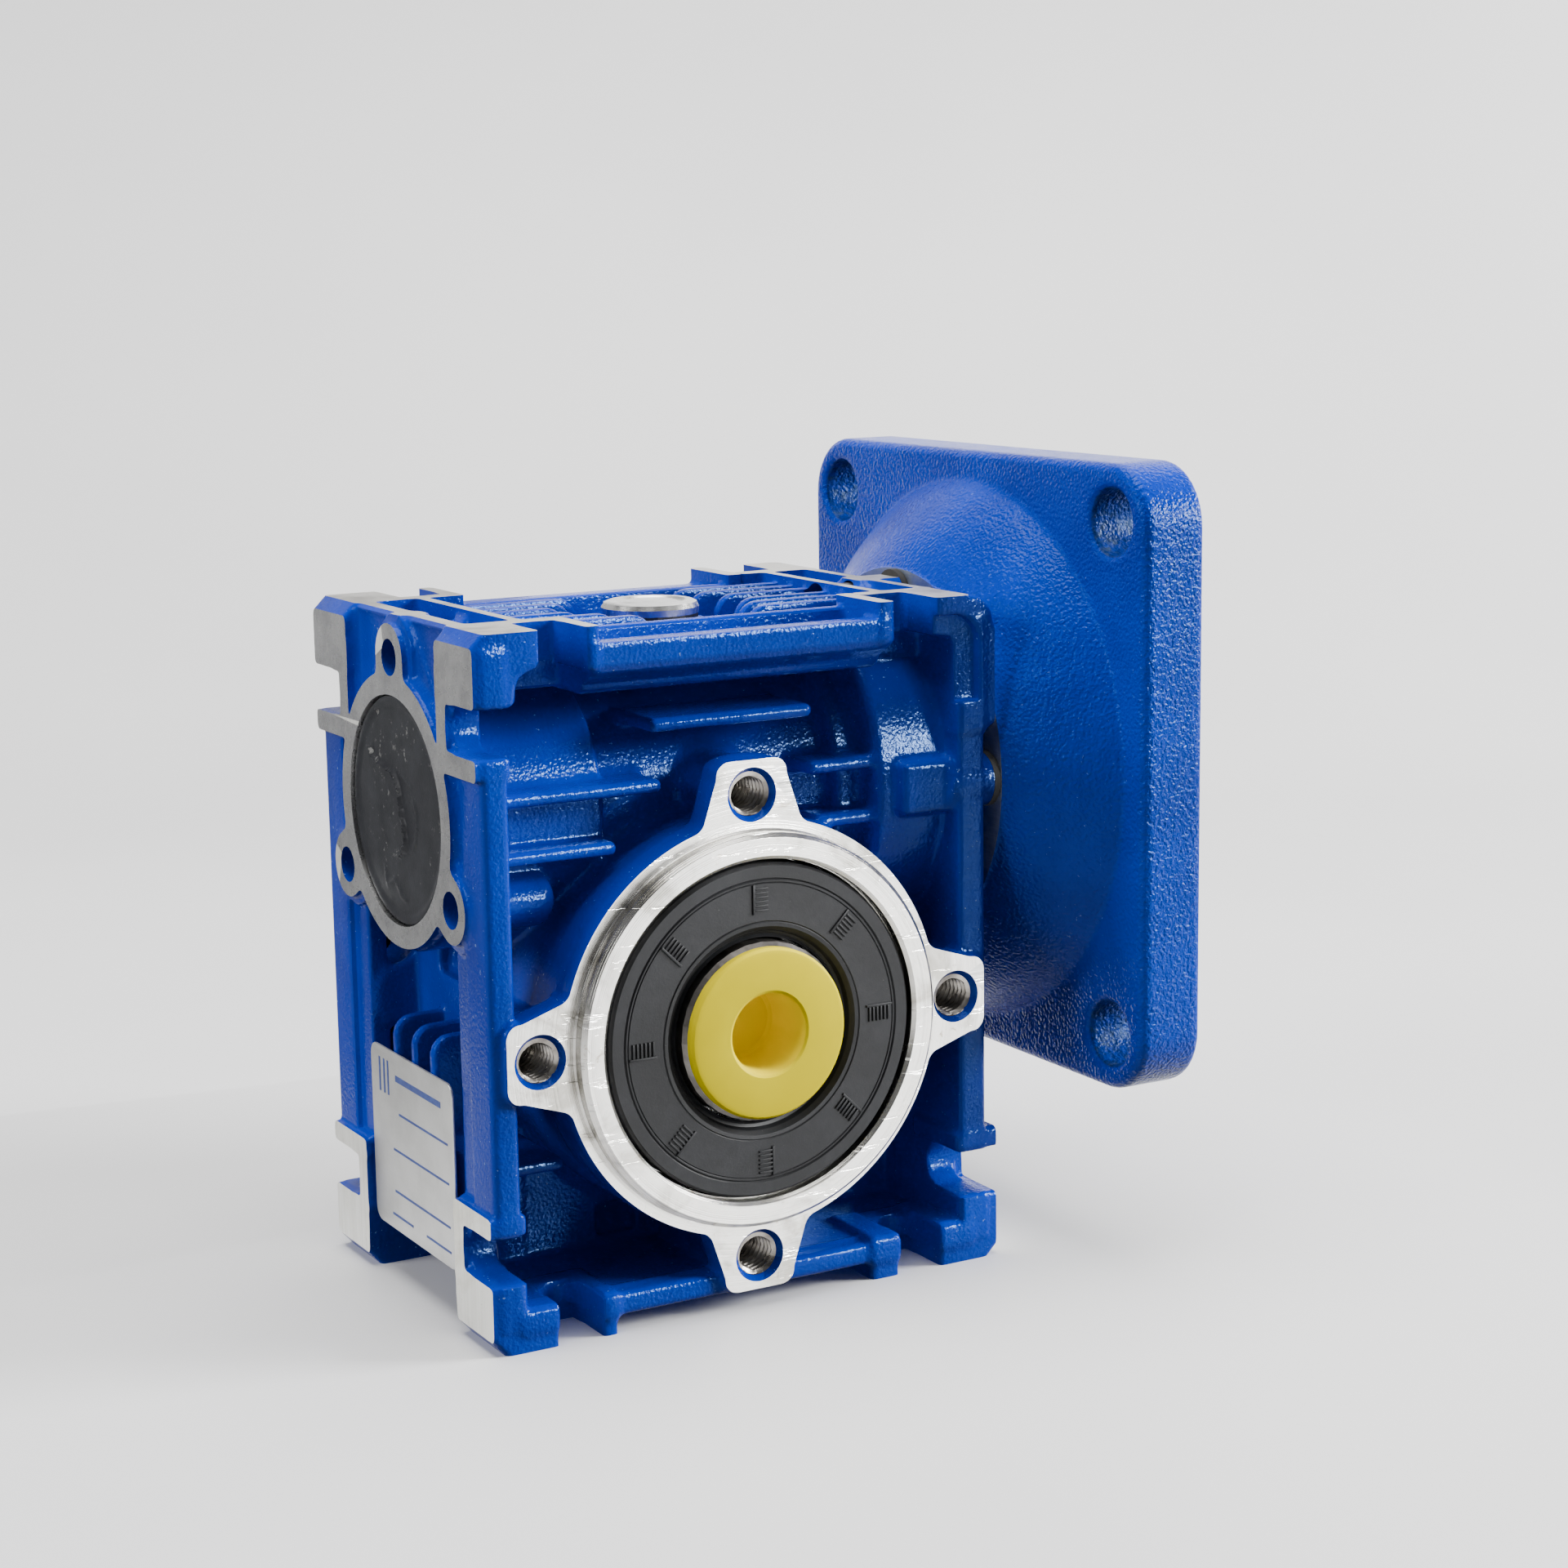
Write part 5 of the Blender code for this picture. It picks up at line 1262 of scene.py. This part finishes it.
def build_flag():
    """A dark studio card behind the end wall that only shows in the gloss, so
    that the painted rails there keep their colour."""
    bm = bmesh.new()
    corners = [bm.verts.new(p) for p in ((-0.34, 0.16, 0.0), (0.02, 0.11, 0.0), (0.02, 0.11, 0.22), (-0.34, 0.16, 0.22))]
    bm.faces.new(corners)
    low = [bm.verts.new(p) for p in ((-0.34, 0.036, 0.0006), (0.02, 0.036, 0.0006), (0.02, 0.11, 0.0006), (-0.34, 0.16, 0.0006))]
    bm.faces.new(low)
    obj = from_bmesh("dark_card", bm)
    m = Nodes("dark_card_cloth")
    m.set(Metallic=0.0, Specular_IOR_Level=0.0)
    colour = m.ramp(m.noise(20, 3, 0.5), (0.3, (0.50, 0.50, 0.51)), (0.7, (0.56, 0.56, 0.56)))
    obj.data.materials.append(m.done(colour, m.math("MULTIPLY_ADD", m.noise(50, 3, 0.6), 0.1, 0.8), m.bump(m.noise(900, 3, 0.6), 0.1, 0.00005)))
    obj.visible_camera = False
    obj.visible_diffuse = False
    obj.visible_shadow = False
    obj.visible_transmission = False


def area(name, location, target, size, power, colour=(1, 1, 1), size_y=None):
    data = bpy.data.lights.new(name, "AREA")
    data.shape = "RECTANGLE"
    data.size, data.size_y = size, size_y or size
    data.energy = power
    data.color = colour
    obj = bpy.data.objects.new(name, data)
    bpy.context.scene.collection.objects.link(obj)
    obj.location = location
    obj.rotation_euler = (Vector(target) - Vector(location)).to_track_quat("-Z", "Y").to_euler()
    return obj


build_stage()
build_flag()
area("top_softbox", (0.0, 0.04, 1.0), (0, 0, 0.05), 0.8, 15.0, (1.0, 0.99, 0.98))
area("right_side", (0.98, -0.46, 0.42), (0, -0.02, 0.06), 0.42, 31.0, (1.0, 1.0, 1.0))
area("left_side", (-0.98, 0.06, 0.50), (0, 0, 0.05), 0.5, 8.0, (1.0, 1.0, 1.0))
area("backdrop_wash", (-0.1, 0.1, 1.15), (0.25, 0.62, 0.45), 0.5, 2.2, (1.0, 1.0, 1.0))
# A bright card that only shows in the gloss of the paint and the bare metal.
card = area("gloss_card", (0.49, -0.83, 0.33), (0.05, -0.05, 0.09), 0.12, 24.0, (0.98, 0.99, 1.0), 0.26)
card.visible_diffuse = False

world = bpy.data.worlds.new("pale_room")
bpy.context.scene.world = world
world.use_nodes = True
world.node_tree.nodes["Background"].inputs["Color"].default_value = (0.93, 0.95, 1.0, 1)
world.node_tree.nodes["Background"].inputs["Strength"].default_value = 0.12

view = bpy.data.cameras.new("view")
camera = bpy.data.objects.new("view", view)
bpy.context.scene.collection.objects.link(camera)
azimuth, tilt, roll = 0.5152, 0.1768, -0.0152
look = Vector((math.sin(azimuth) * math.cos(tilt), math.cos(azimuth) * math.cos(tilt), -math.sin(tilt)))
side = look.cross(Vector((0, 0, 1))).normalized()
up = side.cross(look)
right_axis = side * math.cos(roll) + up * math.sin(roll)
up_axis = -side * math.sin(roll) + up * math.cos(roll)
turn = Matrix((right_axis, up_axis, -look)).transposed().to_4x4()
camera.matrix_world = Matrix.Translation(Vector((-192.49 + SHIFT, -377.78, 145.07)) * MM) @ turn
view.sensor_width = 36.0
view.lens = 3671.25 / 1920 * 36.0
view.clip_start = 0.01
bpy.context.scene.camera = camera
